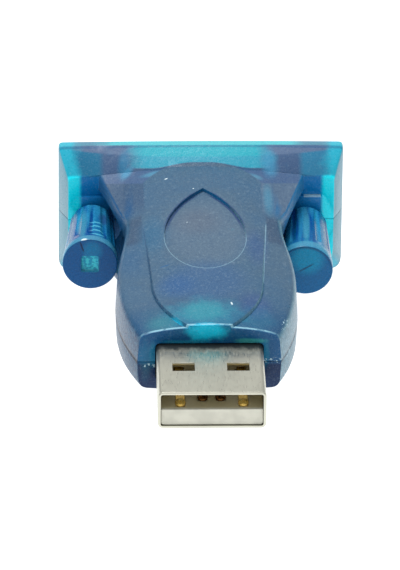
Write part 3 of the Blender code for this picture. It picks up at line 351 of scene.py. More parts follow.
class Finish:
    """A material under construction: its nodes, its surface colour so far, and distances in
    millimetres along the adapter's own axes."""

    def __init__(self, name, colour, roughness, metallic=0.0):
        self.material = bpy.data.materials.new(name)
        self.material.use_nodes = True
        self.tree = self.material.node_tree
        self.shader = self.tree.nodes["Principled BSDF"]
        self.shader.inputs["Base Color"].default_value = (*colour, 1.0)
        self.shader.inputs["Roughness"].default_value = roughness
        self.shader.inputs["Metallic"].default_value = metallic
        self.surface = tuple(colour)
        self.coordinates = self.tree.nodes.new("ShaderNodeTexCoord")
        self.spot = self.tree.nodes.new("ShaderNodeMapping")
        self.spot.inputs["Location"].default_value = (0.0, -PLUG_MOUTH_Y / MM, -MIDDLE_Z / MM)
        self.spot.inputs["Scale"].default_value = (1 / MM,) * 3
        self.link(self.coordinates.outputs["Object"], self.spot.inputs["Vector"])

    def link(self, source, target):
        self.tree.links.new(source, target)

    def noise(self, size, detail=3.0, rough=0.5, stretch=(1.0, 1.0, 1.0)):
        """Noise whose blotches are about size millimetres across."""
        scaled = self.tree.nodes.new("ShaderNodeMapping")
        scaled.inputs["Scale"].default_value = tuple(axis / size for axis in stretch)
        self.link(self.spot.outputs["Vector"], scaled.inputs["Vector"])
        noise = self.tree.nodes.new("ShaderNodeTexNoise")
        noise.inputs["Scale"].default_value = 1.0
        noise.inputs["Detail"].default_value = detail
        noise.inputs["Roughness"].default_value = rough
        self.link(scaled.outputs["Vector"], noise.inputs["Vector"])
        return noise.outputs["Fac"]

    def uneven(self, swing, *noise_settings):
        """Noise round 0, to be added to a distance or a mask to make its edge uneven."""
        return self.times(self.minus(self.noise(*noise_settings), 0.5), swing)

    def ball(self, centre, radii, turn=0.0, about="Z", on=None):
        """1 at a centre in the adapter's millimetres, falling to 0 at the radii round it."""
        moved = self.tree.nodes.new("ShaderNodeMapping")
        moved.vector_type = "TEXTURE"
        moved.inputs["Location"].default_value = centre
        moved.inputs["Rotation"].default_value["XYZ".index(about)] = math.radians(turn)
        moved.inputs["Scale"].default_value = radii
        self.link(on or self.spot.outputs["Vector"], moved.inputs["Vector"])
        falloff = self.tree.nodes.new("ShaderNodeTexGradient")
        falloff.gradient_type = "SPHERICAL"
        self.link(moved.outputs["Vector"], falloff.inputs["Vector"])
        return falloff.outputs["Fac"]

    def part_of(self, vector, axis):
        split = self.tree.nodes.new("ShaderNodeSeparateXYZ")
        self.link(vector, split.inputs["Vector"])
        return split.outputs["XYZ".index(axis)]

    def along(self, axis):
        """The distance along one of the adapter's axes in millimetres."""
        return self.part_of(self.spot.outputs["Vector"], axis)

    def facing(self, axis):
        """How squarely the surface faces either way along an axis, from 0 to 1."""
        return self.math("ABSOLUTE", self.part_of(self.coordinates.outputs["Normal"], axis))

    def joined(self, x, y):
        """A vector from two distances."""
        node = self.tree.nodes.new("ShaderNodeCombineXYZ")
        self.link(x, node.inputs["X"])
        self.link(y, node.inputs["Y"])
        return node.outputs["Vector"]

    def math(self, operation, first, second=0.0, clamp=False):
        node = self.tree.nodes.new("ShaderNodeMath")
        node.operation = operation
        node.use_clamp = clamp
        for socket, value in zip(node.inputs, (first, second)):
            if isinstance(value, (int, float)):
                socket.default_value = value
            else:
                self.link(value, socket)
        return node.outputs["Value"]

    def plus(self, first, second):
        return self.math("ADD", first, second)

    def minus(self, first, second):
        return self.math("SUBTRACT", first, second)

    def times(self, first, second):
        return self.math("MULTIPLY", first, second)

    def all_of(self, *masks):
        joined = masks[0]
        for mask in masks[1:]:
            joined = self.times(joined, mask)
        return joined

    def spread(self, value, low, high, to_low=0.0, to_high=1.0):
        """value from low to high, eased to the range from to_low to to_high."""
        node = self.tree.nodes.new("ShaderNodeMapRange")
        node.interpolation_type = "SMOOTHSTEP"
        for name, number in (("From Min", low), ("From Max", high),
                             ("To Min", to_low), ("To Max", to_high)):
            node.inputs[name].default_value = number
        self.link(value, node.inputs["Value"])
        return node.outputs["Result"]

    def fade(self, value, low, high):
        """1 up to low, falling to 0 at high."""
        return self.spread(value, low, high, 1.0, 0.0)

    def band(self, distance, low, high, ease):
        """1 between two distances, falling to 0 over ease millimetres outside them."""
        return self.times(self.spread(distance, low - ease, low),
                          self.fade(distance, high, high + ease))

    def mix(self, factor, first, second):
        """Colours, or colour sockets, mixed by a factor socket."""
        node = self.tree.nodes.new("ShaderNodeMix")
        node.data_type = "RGBA"
        self.link(factor, node.inputs["Factor"])
        for name, value in (("A", first), ("B", second)):
            socket = next(item for item in node.inputs
                          if item.name == name and item.type == "RGBA")
            if isinstance(value, tuple):
                socket.default_value = (*value, 1.0)
            else:
                self.link(value, socket)
        return next(item for item in node.outputs if item.type == "RGBA")

    def paint(self, tone, mask, share=1.0):
        """Lays a colour over the surface where the mask lets it, and at most by the share."""
        if share != 1.0:
            mask = self.times(mask, share)
        self.surface = self.mix(mask, self.surface, tone)

    def paint_spots(self, spots, low, high, within=None, uneven=None, on=None, about="Z"):
        """Lays soft spots over the surface: the centre, radii, turn, tone and share of each.
        A spot starts where its ball passes low, and is full from high."""
        for centre, radii, turn, tone, share in spots:
            depth = self.ball(centre, radii, turn, about, on)
            if uneven:
                depth = self.plus(depth, uneven)
            mask = self.spread(depth, low, high, 0.0, share)
            self.paint(tone, self.times(within, mask) if within else mask)

    def roughness(self, socket):
        self.link(socket, self.shader.inputs["Roughness"])

    def bump(self, height, depth, strength=1.0):
        """Relief from a 0 to 1 height, depth millimetres deep."""
        node = self.tree.nodes.new("ShaderNodeBump")
        node.inputs["Strength"].default_value = strength
        node.inputs["Distance"].default_value = depth * MM
        self.link(height, node.inputs["Height"])
        self.link(node.outputs["Normal"], self.shader.inputs["Normal"])

    def done(self):
        self.link(self.surface, self.shader.inputs["Base Color"])
        return self.material


class HousingFinish(Finish):
    """Matte translucent blue: grey-blue on the top with a painted sheen, deep at the nose and
    near the screws, and bright cyan painted where the walls stand free and light comes round
    them."""

    def __init__(self, look):
        super().__init__("blue_housing", tuple(look.deep), look.roughness)
        self.shader.inputs["Transmission Weight"].default_value = look.transmission
        self.shader.inputs["Specular IOR Level"].default_value = look.gloss
        self.deep, self.clear, self.lit, self.pale = (
            tuple(tone) for tone in (look.deep, look.clear, look.lit, look.edge_colour))
        self.across = self.along("X")
        self.off_middle = self.math("ABSOLUTE", self.across)
        self.length = self.along("Y")
        self.level = self.along("Z")
        self.height = self.math("ABSOLUTE", self.level)
        self.on_top = self.spread(self.height, 3.6, 4.2)
        self.haze = self.uneven(0.6, 1.4, 3.0, 0.6)
        self.surface = tuple(look.grey)
        self.paint_film(tuple(look.blue))
        self.paint_nose()
        self.paint_grit()
        self.paint_lines()
        self.paint_hood()
        self.paint_wall()
        self.paint_sides()
        self.paint_marks()
        self.paint_specks(look.grain / MM)
        grain = self.noise(look.grain / MM, 3.0, 0.6)
        leather = self.noise(0.7, 3.0, 0.55)
        self.roughness(self.spread(grain, 0.3, 0.7, look.roughness - 0.08,
                                   look.roughness + 0.08))
        self.bump(self.plus(self.times(grain, 0.3), leather), 0.05, 0.8)

    def by_side(self, left, right, ease=2.0):
        """A colour, or a number, that differs from the left half to the right one."""
        if isinstance(left, tuple):
            return self.mix(self.spread(self.across, -ease, ease), left, right)
        return self.spread(self.across, -ease, ease, left, right)

    def paint_film(self, blue):
        """Blue clouds in the grey film on the top, whose grey carries a painted sheen, and the
        areas where its tone changes.
        """
        film = self.plus(self.times(self.noise(5.0, 3.0), 0.8),
                         self.times(self.noise(0.7, 3.0, 0.6), 0.2))
        self.paint(blue, self.spread(film, 0.34, 0.66, 0.1, 0.42))
        self.paint_spots((
            ((0.0, 32.0, 6.0), (7.0, 12.0, 6.0), 0.0, srgb(80, 104, 126), 0.85),
        ), 0.1, 0.6)
        self.paint_spots((
            ((0.0, 21.0, 5.0), (6.0, 6.0, 4.0), 0.0, srgb(50, 90, 132), 0.75),
        ), 0.0, 0.6)
        front = self.all_of(self.fade(self.length, 13.0, 19.0),
                            self.spread(self.height, 2.0, 3.2))
        self.paint(srgb(20, 76, 116), front, 0.9)
        waist = self.all_of(self.band(self.off_middle, 7.3, 9.0, 0.25),
                            self.band(self.length, 31.5, 36.4, 1.6))
        self.paint(srgb(46, 70, 98), waist, 0.75)
        wings = self.all_of(self.spread(self.off_middle, 6.7, 7.0),
                            self.spread(self.length, 36.0, 41.0))
        self.paint(self.by_side(srgb(48, 76, 108), srgb(80, 102, 128)), wings, 0.75)
        self.paint_spots((
            ((-0.8, 34.6, 5.5), (4.0, 4.6, 4.0), 0.0, srgb(88, 96, 112), 0.4),
            ((-6.0, 32.0, 5.0), (2.4, 7.0, 4.0), 0.0, srgb(34, 96, 132), 0.6),
            ((5.8, 29.0, 5.0), (1.8, 6.0, 4.0), 0.0, srgb(44, 78, 130), 0.5),
            ((-3.6, 20.0, 5.0), (3.2, 3.4, 4.0), 0.0, srgb(30, 84, 138), 0.6),
            ((5.2, 16.4, 4.6), (2.8, 3.6, 4.0), 0.0, srgb(44, 72, 130), 0.5),
            ((7.6, 41.0, 6.0), (0.9, 5.0, 4.0), 0.0, srgb(60, 136, 168), 0.6),
            ((-8.6, 27.0, 4.6), (2.2, 5.0, 4.0), 0.0, srgb(36, 86, 126), 0.5),
            ((-5.2, 13.0, 4.0), (2.8, 2.2, 3.0), 0.0, srgb(40, 140, 150), 0.4),
        ), 0.0, 0.8)

    def paint_nose(self):
        """Deep blue, darker below the parting line, with light let in over the plug, round
        its opening and along the panel's groove, and a pale upper edge, worn and with a painted
        glint."""
        nose_tone = self.mix(self.spread(self.level, -0.5, 0.1), srgb(14, 44, 86), self.deep)
        self.paint(nose_tone, self.fade(self.length, 11.66, 11.8))
        self.paint_spots((
            ((-0.4, 14.0, 4.6), (6.6, 5.0, 4.0), 0.0, self.clear, 0.22),
            ((-0.6, 14.6, 4.6), (4.0, 3.2, 3.0), 0.0, srgb(44, 146, 160), 0.6),
            ((-5.6, 14.4, 4.0), (3.0, 3.5, 2.5), 0.0, srgb(50, 150, 150), 0.08),
            ((5.4, 14.0, 4.0), (3.0, 3.5, 2.5), 0.0, self.clear, 0.08),
            ((-0.4, 11.6, 3.9), (3.3, 1.0, 1.8), 0.0, srgb(0, 216, 252), 0.88),
            ((-7.2, 11.6, 0.4), (1.2, 1.0, 3.6), 0.0, self.clear, 0.12),
            ((4.6, 11.6, 2.6), (2.6, 1.0, 0.5), 0.0, srgb(64, 170, 164), 0.75),
            ((-2.6, 11.6, 2.5), (4.0, 1.0, 0.36), 0.0, srgb(30, 146, 176), 0.6),
            ((6.35, 11.6, 1.0), (0.6, 1.0, 2.4), 0.0, srgb(16, 128, 164), 0.6),
            ((-6.4, 11.6, 1.0), (0.6, 1.0, 2.4), 0.0, srgb(16, 128, 164), 0.6),
        ), 0.1, 0.7, uneven=self.haze)
        # The nose's upper edge: a pale line of wear with a painted glint along it
        worn_and_lit = self.all_of(self.band(self.length, 11.76, 11.96, 0.08),
                           self.spread(self.height, 2.5, 2.9),
                           self.spread(self.off_middle, 6.0, 7.4, 1.0, 0.4),
                           self.spread(self.noise(0.8, 2.0), 0.32, 0.5))
        self.paint(srgb(150, 204, 222), worn_and_lit, 0.8)
        self.paint_spots((
            ((-3.6, 13.1, 4.3), (0.24, 1.7, 1.5), 34.0, srgb(0, 190, 226), 0.9),
        ), 0.1, 0.7)

    def paint_grit(self):
        """The top's leathery grain, with its sheen painted in paler and darker mottles."""
        grit = self.noise(0.45, 4.0, 0.65)
        upper = self.times(self.on_top, self.spread(self.length, 12.0, 22.0, 0.4, 1.0))
        self.paint(srgb(124, 146, 164),
                   self.times(upper, self.spread(grit, 0.52, 0.74, 0.0, 0.3)))
        self.paint(srgb(30, 58, 94),
                   self.times(upper, self.spread(grit, 0.28, 0.47, 0.26, 0.0)))

    def paint_lines(self):
        """Fine lines along the panel's arms, painted shade on the left and a painted highlight on
        the right, a painted highlight along the recess's foot, and painted shade at its point.
        """
        arm = self.plus(self.times(self.length, ARM_LEAN), ARM_FOOT[0] - ARM_FOOT[1] * ARM_LEAN)
        # Painted shade along the left arm, a painted highlight along the right one
        arm_light_and_shade = self.all_of(self.band(self.minus(self.off_middle, arm), -0.03, 0.04, 0.05),
                             self.band(self.length, 22.0, 34.4, 1.0), self.on_top)
        self.paint(self.by_side(srgb(38, 74, 112), self.pale, 1.0), arm_light_and_shade, 0.5)
        ring = self.ball((0.0, RECESS_WIDEST_Y, 5.0), (2 * RECESS_HALF, 2 * RECESS_FOOT, FAR))
        # A painted highlight along the recess's foot
        foot = self.all_of(self.band(ring, 0.497, 0.503, 0.004),
                           self.fade(self.length, 30.0, 33.0), self.on_top)
        self.paint(self.pale, foot, 0.55)
        along = self.math("MULTIPLY", self.minus(self.length, RECESS_WIDEST_Y),
                          1 / RECESS_POINT, clamp=True)
        edge = self.times(self.minus(1.0, self.math("POWER", along, POINT_POWER)), RECESS_HALF)
        crescent_shade = self.all_of(self.band(self.minus(edge, self.off_middle), -0.1, 0.3, 0.16),
                               self.spread(along, 0.08, 0.4), self.fade(along, 0.84, 0.97),
                               self.spread(self.height, 4.0, 4.6))
        self.paint(srgb(20, 56, 104), crescent_shade, 0.85)

    def paint_hood(self):
        """Clear along the middle and at the far corners and mauve between, from the brow down
        to the panel's domed end: cyan painted light where light comes through, painted streaks of
        light and a lit rim band, painted shade along the dome's foot and a painted shadow line in
        the crease below the rim."""
        slant = self.plus(self.times(self.length, UP_SLOPE[0]),
                          self.times(self.height, UP_SLOPE[1]))
        dome = self.math("MINIMUM",
                         self.times(self.math("POWER", self.off_middle, 2.69), 0.0133), 2.5)
        slope = self.all_of(self.spread(self.minus(self.plus(slant, dome), DOME_TOP), -0.08, 0.1),
                            self.spread(self.height, 4.7, 5.0),
                            self.spread(self.length, 43.6, 44.6))
        bow = self.times(self.times(self.across, self.across), HOOD_CROWN / HOOD_RIM_HALF ** 2)
        above = self.spread(self.minus(self.minus(self.length, bow), BROW_Y), -0.1, 0.15)
        ragged = self.plus(self.off_middle, self.uneven(3.0, 2.2, 3.0))
        outer = self.by_side(srgb(20, 108, 146), srgb(40, 120, 158))
        below = self.mix(self.spread(self.off_middle, 11.2, 12.2), srgb(62, 90, 128), outer)
        self.paint(self.mix(above, below, srgb(88, 110, 144)), slope)
        drop = self.spread(self.off_middle, 1.0, 6.0, 0.0, 0.7)
        past_foot = self.minus(self.plus(slant, drop), DOME_TOP)
        shade = self.all_of(slope, self.band(past_foot, -0.22, -0.05, 0.08),
                            self.band(self.off_middle, 1.6, 7.6, 0.6))
        self.paint(srgb(22, 70, 108), shade, 0.7)
        lower_light = self.all_of(slope, self.spread(past_foot, -0.05, 0.14),
                                  self.spread(ragged, 6.6, 9.0, 0.9, 0.0))
        upper_light = self.all_of(slope, above, self.fade(ragged, 6.4, 8.6))
        corners = self.all_of(slope, self.spread(ragged, 13.8, 15.4, 0.0, 0.85))
        rim = self.all_of(self.spread(self.length, 50.3, 50.42),
                          self.spread(ragged, 9.5, 13.0, 1.0, 0.3))
        self.paint(srgb(28, 160, 186), lower_light)
        self.paint(srgb(22, 168, 186), upper_light)
        self.paint(self.clear, corners)
        self.paint(srgb(84, 190, 200), rim)
        self.paint_spots((
            ((-9.1, 28.2, 0.0), (1.0, 2.6, 1.0), -8.0, srgb(20, 126, 168), 0.6),
            ((-8.7, 27.0, 0.0), (0.6, 1.5, 1.0), -40.0, srgb(50, 148, 188), 0.6),
            ((-5.8, 26.87, 0.0), (2.0, 0.4, 1.0), 12.8, srgb(78, 144, 174), 0.7),
            ((6.2, 26.54, 0.0), (1.4, 0.4, 1.0), -18.0, srgb(84, 144, 170), 0.6),
            ((8.0, 28.2, 0.0), (1.4, 2.4, 1.0), 8.0, srgb(60, 148, 188), 0.7),
        ), 0.0, 0.8, within=slope, uneven=self.times(self.haze, 0.6),
            on=self.joined(self.across, slant))
        # A painted shadow line in the crease between the rim band and the slope
        crease = self.all_of(self.band(self.length, 50.1, 50.28, 0.06), slope)
        self.paint(self.deep, crease, 0.45)

    def paint_wall(self):
        """The hood's back wall round the knobs, painted in shade near them and lit towards its
        free edges, and a painted highlight along the boss's upper edge on the right.
        """
        wall = self.all_of(self.spread(self.length, 47.1, 47.2),
                           self.fade(self.length, 47.7, 48.0), self.fade(self.height, 5.4, 5.8))
        wall_tone = self.mix(self.spread(self.off_middle, 13.9, 14.5), srgb(0, 118, 186),
                             self.lit)
        self.paint(wall_tone, wall)
        # A painted highlight along the boss's upper edge on the right
        boss = self.all_of(self.band(self.height, 3.02, 3.2, 0.05),
                           self.band(self.across, 12.1, 14.0, 0.1),
                           self.spread(self.length, 46.9, 47.1))
        self.paint(self.pale, boss, 0.8)

    def paint_sides(self):
        """Flanks painted pale with the sheen of grazing light on their frosted grain, paler on
        the right, deep blue sides of the neck and the dark parting line.
        """
        sideways = self.facing("X")
        neck = self.all_of(self.spread(sideways, 0.3, 0.6), self.spread(self.length, 37.0, 39.0),
                           self.fade(self.length, 47.4, 47.6))
        self.paint(self.by_side(srgb(6, 76, 124), srgb(8, 102, 154)), neck, 0.9)
        # Painted sheen of grazing light over the frosted grain, paler on the right side, where
        # the light falls
        frost_sheen = self.times(self.spread(self.noise(0.42, 4.0, 0.7), 0.42, 0.68),
                           self.by_side(0.3, 0.5))
        flank_sheen = self.mix(frost_sheen, self.by_side(srgb(2, 60, 98), srgb(70, 118, 138)),
                         self.by_side(srgb(84, 150, 180), srgb(126, 176, 200)))
        side = self.all_of(self.spread(sideways, 0.6, 0.9),
                           self.math("MAXIMUM", self.fade(self.length, 36.0, 39.0),
                                     self.spread(self.length, 47.4, 47.7)))
        self.paint(self.mix(self.spread(self.length, 46.0, 47.6), flank_sheen, srgb(110, 158, 176)),
                   side)
        seam = self.all_of(self.spread(sideways, 0.5, 0.8), self.fade(self.height, 0.2, 0.34),
                           self.fade(self.length, 45.0, 46.0), self.by_side(0.95, 0.45))
        self.paint(srgb(6, 26, 48), seam)

    def paint_marks(self):
        """Marks of handling: a dark scratch, a painted glint on a small nick, pale dust specks
        and crusts along the parting line.
        """
        self.paint_spots((
            ((-4.8, 24.4, 5.2), (0.16, 0.9, 1.5), -66.0, self.deep, 0.8),
        ), 0.1, 0.4)
        glint_and_dust = srgb(212, 230, 236)
        # The first is a painted glint on a small nick, the others pale dust specks
        self.paint_spots((
            ((2.6, 16.2, 5.0), (0.14, 0.42, 0.6), 12.0, glint_and_dust, 1.0),
            ((-4.2, 44.9, 6.5), (0.34, 0.14, 0.5), 40.0, glint_and_dust, 1.0),
            ((-1.1, 42.1, 6.8), (0.13, 0.13, 0.4), 0.0, glint_and_dust, 1.0),
            ((-2.0, 34.6, 6.1), (0.1, 0.1, 0.4), 0.0, glint_and_dust, 1.0),
        ), 0.15, 0.45)
        crust = srgb(190, 226, 236)
        self.paint_spots((
            ((7.3, 11.8, 0.1), (1.9, 1.6, 0.5), 0.0, crust, 1.0),
            ((8.7, 15.5, -0.2), (0.8, 3.8, 0.6), 0.0, crust, 1.0),
            ((-6.8, 11.6, -0.5), (1.1, 0.5, 0.35), 0.0, crust, 1.0),
            ((8.6, 14.0, 3.2), (0.7, 2.4, 0.5), 0.0, crust, 1.0),
        ), 0.05, 0.35, within=self.spread(self.noise(0.28, 3.0, 0.7), 0.56, 0.62))

    def paint_specks(self, grain):
        """Fine pale and dark specks, a little coarser than the grain."""
        speck = self.noise(1.4 * grain, 2.0, 0.6)
        self.paint(srgb(160, 190, 208), self.spread(speck, 0.5, 0.75, 0.0, 0.1))
        self.paint(self.deep, self.spread(speck, 0.28, 0.5, 0.12, 0.0))


def lit_and_worn_edge_finish(look):
    """The pale line along the housing's edges, handling wear with a painted highlight, dark at
    the parting.
    """
    finish = Finish("blue_housing_edge", tuple(look.edge_colour), look.roughness)
    finish.paint(tuple(look.grey), finish.spread(finish.noise(1.1, 3.0, 0.6), 0.35, 0.65))
    height = finish.math("ABSOLUTE", finish.along("Z"))
    finish.paint(srgb(10, 36, 62), finish.fade(height, 0.2, 0.3))
    finish.bump(finish.noise(0.15, 2.0), 0.01, 0.5)
    return finish.done()


def knob_finish(look):
    """Clear blue plastic with painted light: streaked along the barrel, deep on the face, pale
    in the recess.
    """
    finish = Finish("blue_knob", tuple(look.blue), look.roughness)
    finish.shader.inputs["Transmission Weight"].default_value = look.transmission
    finish.shader.inputs["Specular IOR Level"].default_value = look.gloss
    blue, pale = tuple(look.blue), tuple(look.pale)
    length = finish.along("Y")
    finish.paint(pale, finish.spread(finish.noise(1.3, 3.0, 0.55, (1.0, 0.1, 1.0)), 0.44, 0.62))

    # The front faces, which darken to their rims
    face = finish.all_of(finish.spread(finish.facing("Y"), 0.75, 0.95),
                         finish.fade(length, 37.0, 38.0))
    cloud = finish.spread(finish.noise(2.0, 3.0), 0.35, 0.75, 0.0, 0.25)
    finish.paint(finish.mix(cloud, blue, pale), face)
    finish.paint_spots((
        ((-13.2, 36.0, 0.0), (7.0, 3.0, 7.0), 0.0, srgb(0, 86, 146), 0.9),
        ((11.8, 36.0, -0.9), (7.0, 3.0, 7.0), 0.0, srgb(14, 104, 158), 0.85),
        ((12.0, 36.0, 0.6), (2.6, 1.6, 2.6), 20.0, srgb(0, 146, 190), 0.9),
        ((-12.9, 36.0, 1.7), (1.5, 1.0, 1.7), 0.0, srgb(0, 126, 176), 0.75),
    ), 0.0, 0.6, within=face, about="Y")
    for centre in ((-13.2, 36.0, 0.0), (11.76, 36.1, -1.15)):
        off_rim = finish.ball(centre, (6.54, FAR, 6.54))
        rim = finish.all_of(face, finish.fade(off_rim, 0.5, 0.54),
                            finish.spread(off_rim, 0.4, 0.44))
        finish.paint(srgb(8, 52, 100), rim, 0.6)

    # The barrels: painted light and shade in stripes that follow the flutes, and painted shade on
    # the outer sides
    barrel = finish.spread(length, 36.6, 37.2)
    finish.paint_spots((
        ((-13.95, 40.5, 2.2), (0.7, 7.0, 3.4), -2.0, srgb(58, 132, 164), 0.85),
        ((-13.0, 41.0, 2.8), (0.32, 7.0, 3.4), -2.0, srgb(0, 62, 128), 0.95),
        ((-12.1, 39.6, 2.8), (0.9, 5.0, 3.4), -2.0, srgb(20, 112, 164), 0.8),
        ((-11.5, 43.0, 2.6), (0.9, 2.4, 2.4), -2.0, srgb(40, 80, 136), 0.8),
        ((12.1, 41.0, 1.6), (0.62, 7.0, 3.4), -2.3, srgb(60, 144, 174), 0.85),
        ((10.9, 41.0, 1.0), (0.6, 7.0, 3.4), -2.3, srgb(0, 66, 132), 0.95),
        ((13.0, 41.0, 1.4), (0.32, 7.0, 3.4), -2.3, srgb(0, 74, 136), 0.85),
    ), 0.1, 0.6, within=barrel)
    finish.paint(srgb(6, 104, 140),
                 finish.times(barrel, finish.spread(finish.facing("X"), 0.5, 0.85, 0.0, 0.8)))

    # The left knob's recess, painted bright with the light let through it, then painted
    # highlights on the collars round both faces
    hollow = finish.spread(finish.ball((-13.2, 36.2, 0.0), (2.0, 1.2, 2.0)), 0.02, 0.1)
    glint_lumps = finish.spread(finish.noise(0.4, 2.0, 0.5), 0.4, 0.62)
    finish.paint(finish.mix(glint_lumps, srgb(0, 158, 196), srgb(70, 214, 228)),
                 finish.times(hollow, finish.spread(length, 36.02, 36.14)))
    # Painted highlight on the collar's chamfer
    collar = finish.times(finish.band(length, 36.0, 36.95, 0.3), finish.fade(face, 0.0, 1.0))
    finish.paint(srgb(72, 152, 182), collar, 0.75)

    # A crack on the left face, a crease on the right one, painted glints of the screw's rings
    # seen through, and a chip
    finish.paint_spots((
        ((-14.1, 35.95, 2.2), (0.13, 1.0, 0.95), -18.0, srgb(4, 30, 70), 0.9),
    ), 0.1, 0.4, about="Y")
    finish.paint_spots((
        ((11.9, 35.95, -0.6), (0.16, 1.0, 1.5), 58.0, srgb(6, 50, 100), 0.8),
    ), 0.1, 0.5, about="Y")
    # Painted glints of the screw's rings, seen through the knob
    finish.paint_spots([
        ((-12.3, y, 2.9), (1.3, 0.3, 1.0), 0.0, srgb(96, 200, 226), 0.7)
        for y in (37.7, 38.9, 40.1, 41.2)
    ], 0.1, 0.7)
    finish.paint_spots((
        ((-13.9, 36.05, 3.12), (0.5, 0.4, 0.1), -10.0, srgb(214, 236, 240), 1.0),
    ), 0.1, 0.4, about="Y")

    scuff = finish.noise(0.4, 4.0, 0.6)
    finish.roughness(finish.spread(scuff, 0.35, 0.7, look.roughness, look.roughness + 0.14))
    finish.bump(scuff, 0.002, 0.3)
    return finish.done()


def metal_finish(name, colour, roughness, grain, painted_dark_past=None, metallic=1.0):
    """Plated metal with a fine drawn grain and uneven brightness; past a length rougher, with a
    painted dark reflection and shade.
    """
    finish = Finish(name, colour, roughness, metallic)
    streak = finish.noise(grain, 3.0, 0.6, (1.0, 0.12, 1.0))
    shade = tuple(0.8 * channel for channel in colour)
    finish.paint(shade, finish.spread(finish.noise(3.0, 2.0), 0.35, 0.75, 0.0, 0.35))
    rough = finish.spread(streak, 0.3, 0.7, roughness - 0.05, roughness + 0.08)
    if painted_dark_past:
        drift = finish.times(finish.noise(0.9, 3.0, 0.6, (1.0, 0.5, 1.0)), 2.4)
        reach = finish.spread(finish.plus(finish.along("Y"), drift), *painted_dark_past, 0.0, 0.95)
        # Past the length: a painted dark reflection and shade, as where the plug enters the
        # housing
        finish.paint(srgb(36, 46, 52), reach)
        rough = finish.plus(rough, finish.times(reach, 0.3))
    finish.roughness(rough)
    finish.bump(streak, 0.0004, 0.4)
    return finish.done()


def plastic_finish(name, colour, roughness, painted_dark_past=None):
    """Moulded plastic with soft clouds and a fine grain, and past a length a darker yellow
    that paints shade, as inside the plug's mouth.
    """
    finish = Finish(name, colour, roughness)
    speck = finish.noise(0.2, 3.0, 0.6)
    shade = tuple(0.86 * channel for channel in colour)
    finish.paint(shade, finish.spread(finish.noise(1.6, 2.0), 0.35, 0.7))
    if painted_dark_past:
        # Painted shade in a darker yellow, as inside the plug's mouth
        finish.paint(srgb(184, 172, 130),
                     finish.spread(finish.along("Y"), *painted_dark_past, 0.0, 0.85))
    finish.roughness(finish.spread(speck, 0.3, 0.7, roughness - 0.06, roughness + 0.08))
    finish.bump(speck, 0.005, 0.4)
    return finish.done()


def board_finish():
    """Solder mask over faint copper tracks."""
    finish = Finish("board_green", srgb(22, 92, 58), 0.4)
    tracks = finish.tree.nodes.new("ShaderNodeTexBrick")
    tracks.inputs["Scale"].default_value = 1.1
    tracks.inputs["Mortar Size"].default_value = 0.06
    for name, tone in (("Color1", srgb(20, 88, 54)), ("Color2", srgb(26, 104, 66)),
                       ("Mortar", srgb(14, 66, 42))):
        tracks.inputs[name].default_value = (*tone, 1.0)
    finish.link(finish.spot.outputs["Vector"], tracks.inputs["Vector"])
    finish.surface = tracks.outputs["Color"]
    finish.bump(tracks.outputs["Fac"], 0.01, 0.4)
    return finish.done()


def lift_wings(shell):
    """Brings the neck's wings flush with the hood's bowed lower edge."""
    root = place(0.0, ROOT_Y, 0.0).y
    inner, outer, reach, on_root = 7.6, 10.5, 0.5, 0.02
    groups = {}
    for vertex in shell.data.vertices:
        across = abs(vertex.co.x) / MM
        height = (vertex.co.z - MIDDLE_Z) / MM
        edge = ROOT_EDGE_Z + HOOD_CROWN * (1 - (across / HOOD_ROOT_HALF) ** 2)
        if (abs(vertex.co.y - root) < on_root * MM and inner < across < outer
                and edge - reach < height < edge):
            groups.setdefault(round(edge - height, 3), []).append(vertex.index)
    for rise, chosen in groups.items():
        move_vertices(shell, chosen, (0.0, 0.0, rise * MM))


def recess_half(along, power):
    """Half the thumb recess's width, along its pointed end from 0 to 1."""
    return RECESS_HALF * (1 - along ** power)


def shape_recess(shell, width):
    """Fills out the thumb recess's pointed end and slopes its shoulder."""
    vertices = shell.data.vertices
    lowest, on_rim, least, top_band = 4.5, 0.06, 0.01, 0.05
    on_wall = set()
    widened = {}
    for vertex in vertices:
        x, y, z = ((vertex.co - place(0.0, 0.0, 0.0)) / MM)[:]
        along = (y - RECESS_WIDEST_Y) / RECESS_POINT
        if 0.0 <= along <= 1.001 and z > lowest:
            along = min(along, 1.0)
            rim = recess_half(along, SOLID_POINT_POWER)
            if abs(abs(x) - rim) < on_rim:
                on_wall.add(vertex.index)
                fuller = recess_half(along, POINT_POWER) - rim
                if fuller > least:
                    across = round(math.copysign(fuller, x), 3)
                    widened.setdefault(across, []).append(vertex.index)
    for across, moved in widened.items():
        move_vertices(shell, moved, (across * MM, 0.0, 0.0))

    def column(index):
        return round(vertices[index].co.x / MM, 1), round(vertices[index].co.y / MM, 1)

    tops = {}
    for index in on_wall:
        tops[column(index)] = max(tops.get(column(index), -1.0), vertices[index].co.z)
    shoulder = {index for index in on_wall
                if vertices[index].co.z > tops[column(index)] - top_band * MM}
    edit_chosen(shell, shoulder)
    bpy.ops.mesh.bevel(offset=width, segments=3, affect="EDGES", clamp_overlap=True)
    bpy.ops.object.mode_set(mode="OBJECT")


class ADAPTER_OT_housing(bpy.types.Operator):
    """Dresses the two moulded shells"""

    bl_idname = "adapter.housing"
    bl_label = "Housing shells"

    def execute(self, context):
        look = context.scene.adapter_housing
        material = HousingFinish(look).done()
        worn_and_lit = lit_and_worn_edge_finish(look)
        for node, name in (("upper_shell", "housing_top"), ("lower_shell", "housing_bottom")):
            shell = copy_solid(node, name, flat_angle=0.05)
            if node == "upper_shell":
                lift_wings(shell)
                shape_recess(shell, 0.22 * MM)
            round_edges(shell, look.edge, 40.0, mark=True)
            smooth(shell, 30.0, weighted=False)
            hand_over(shell, HOUSING_BODY, material, node, worn_and_lit)
        return {"FINISHED"}


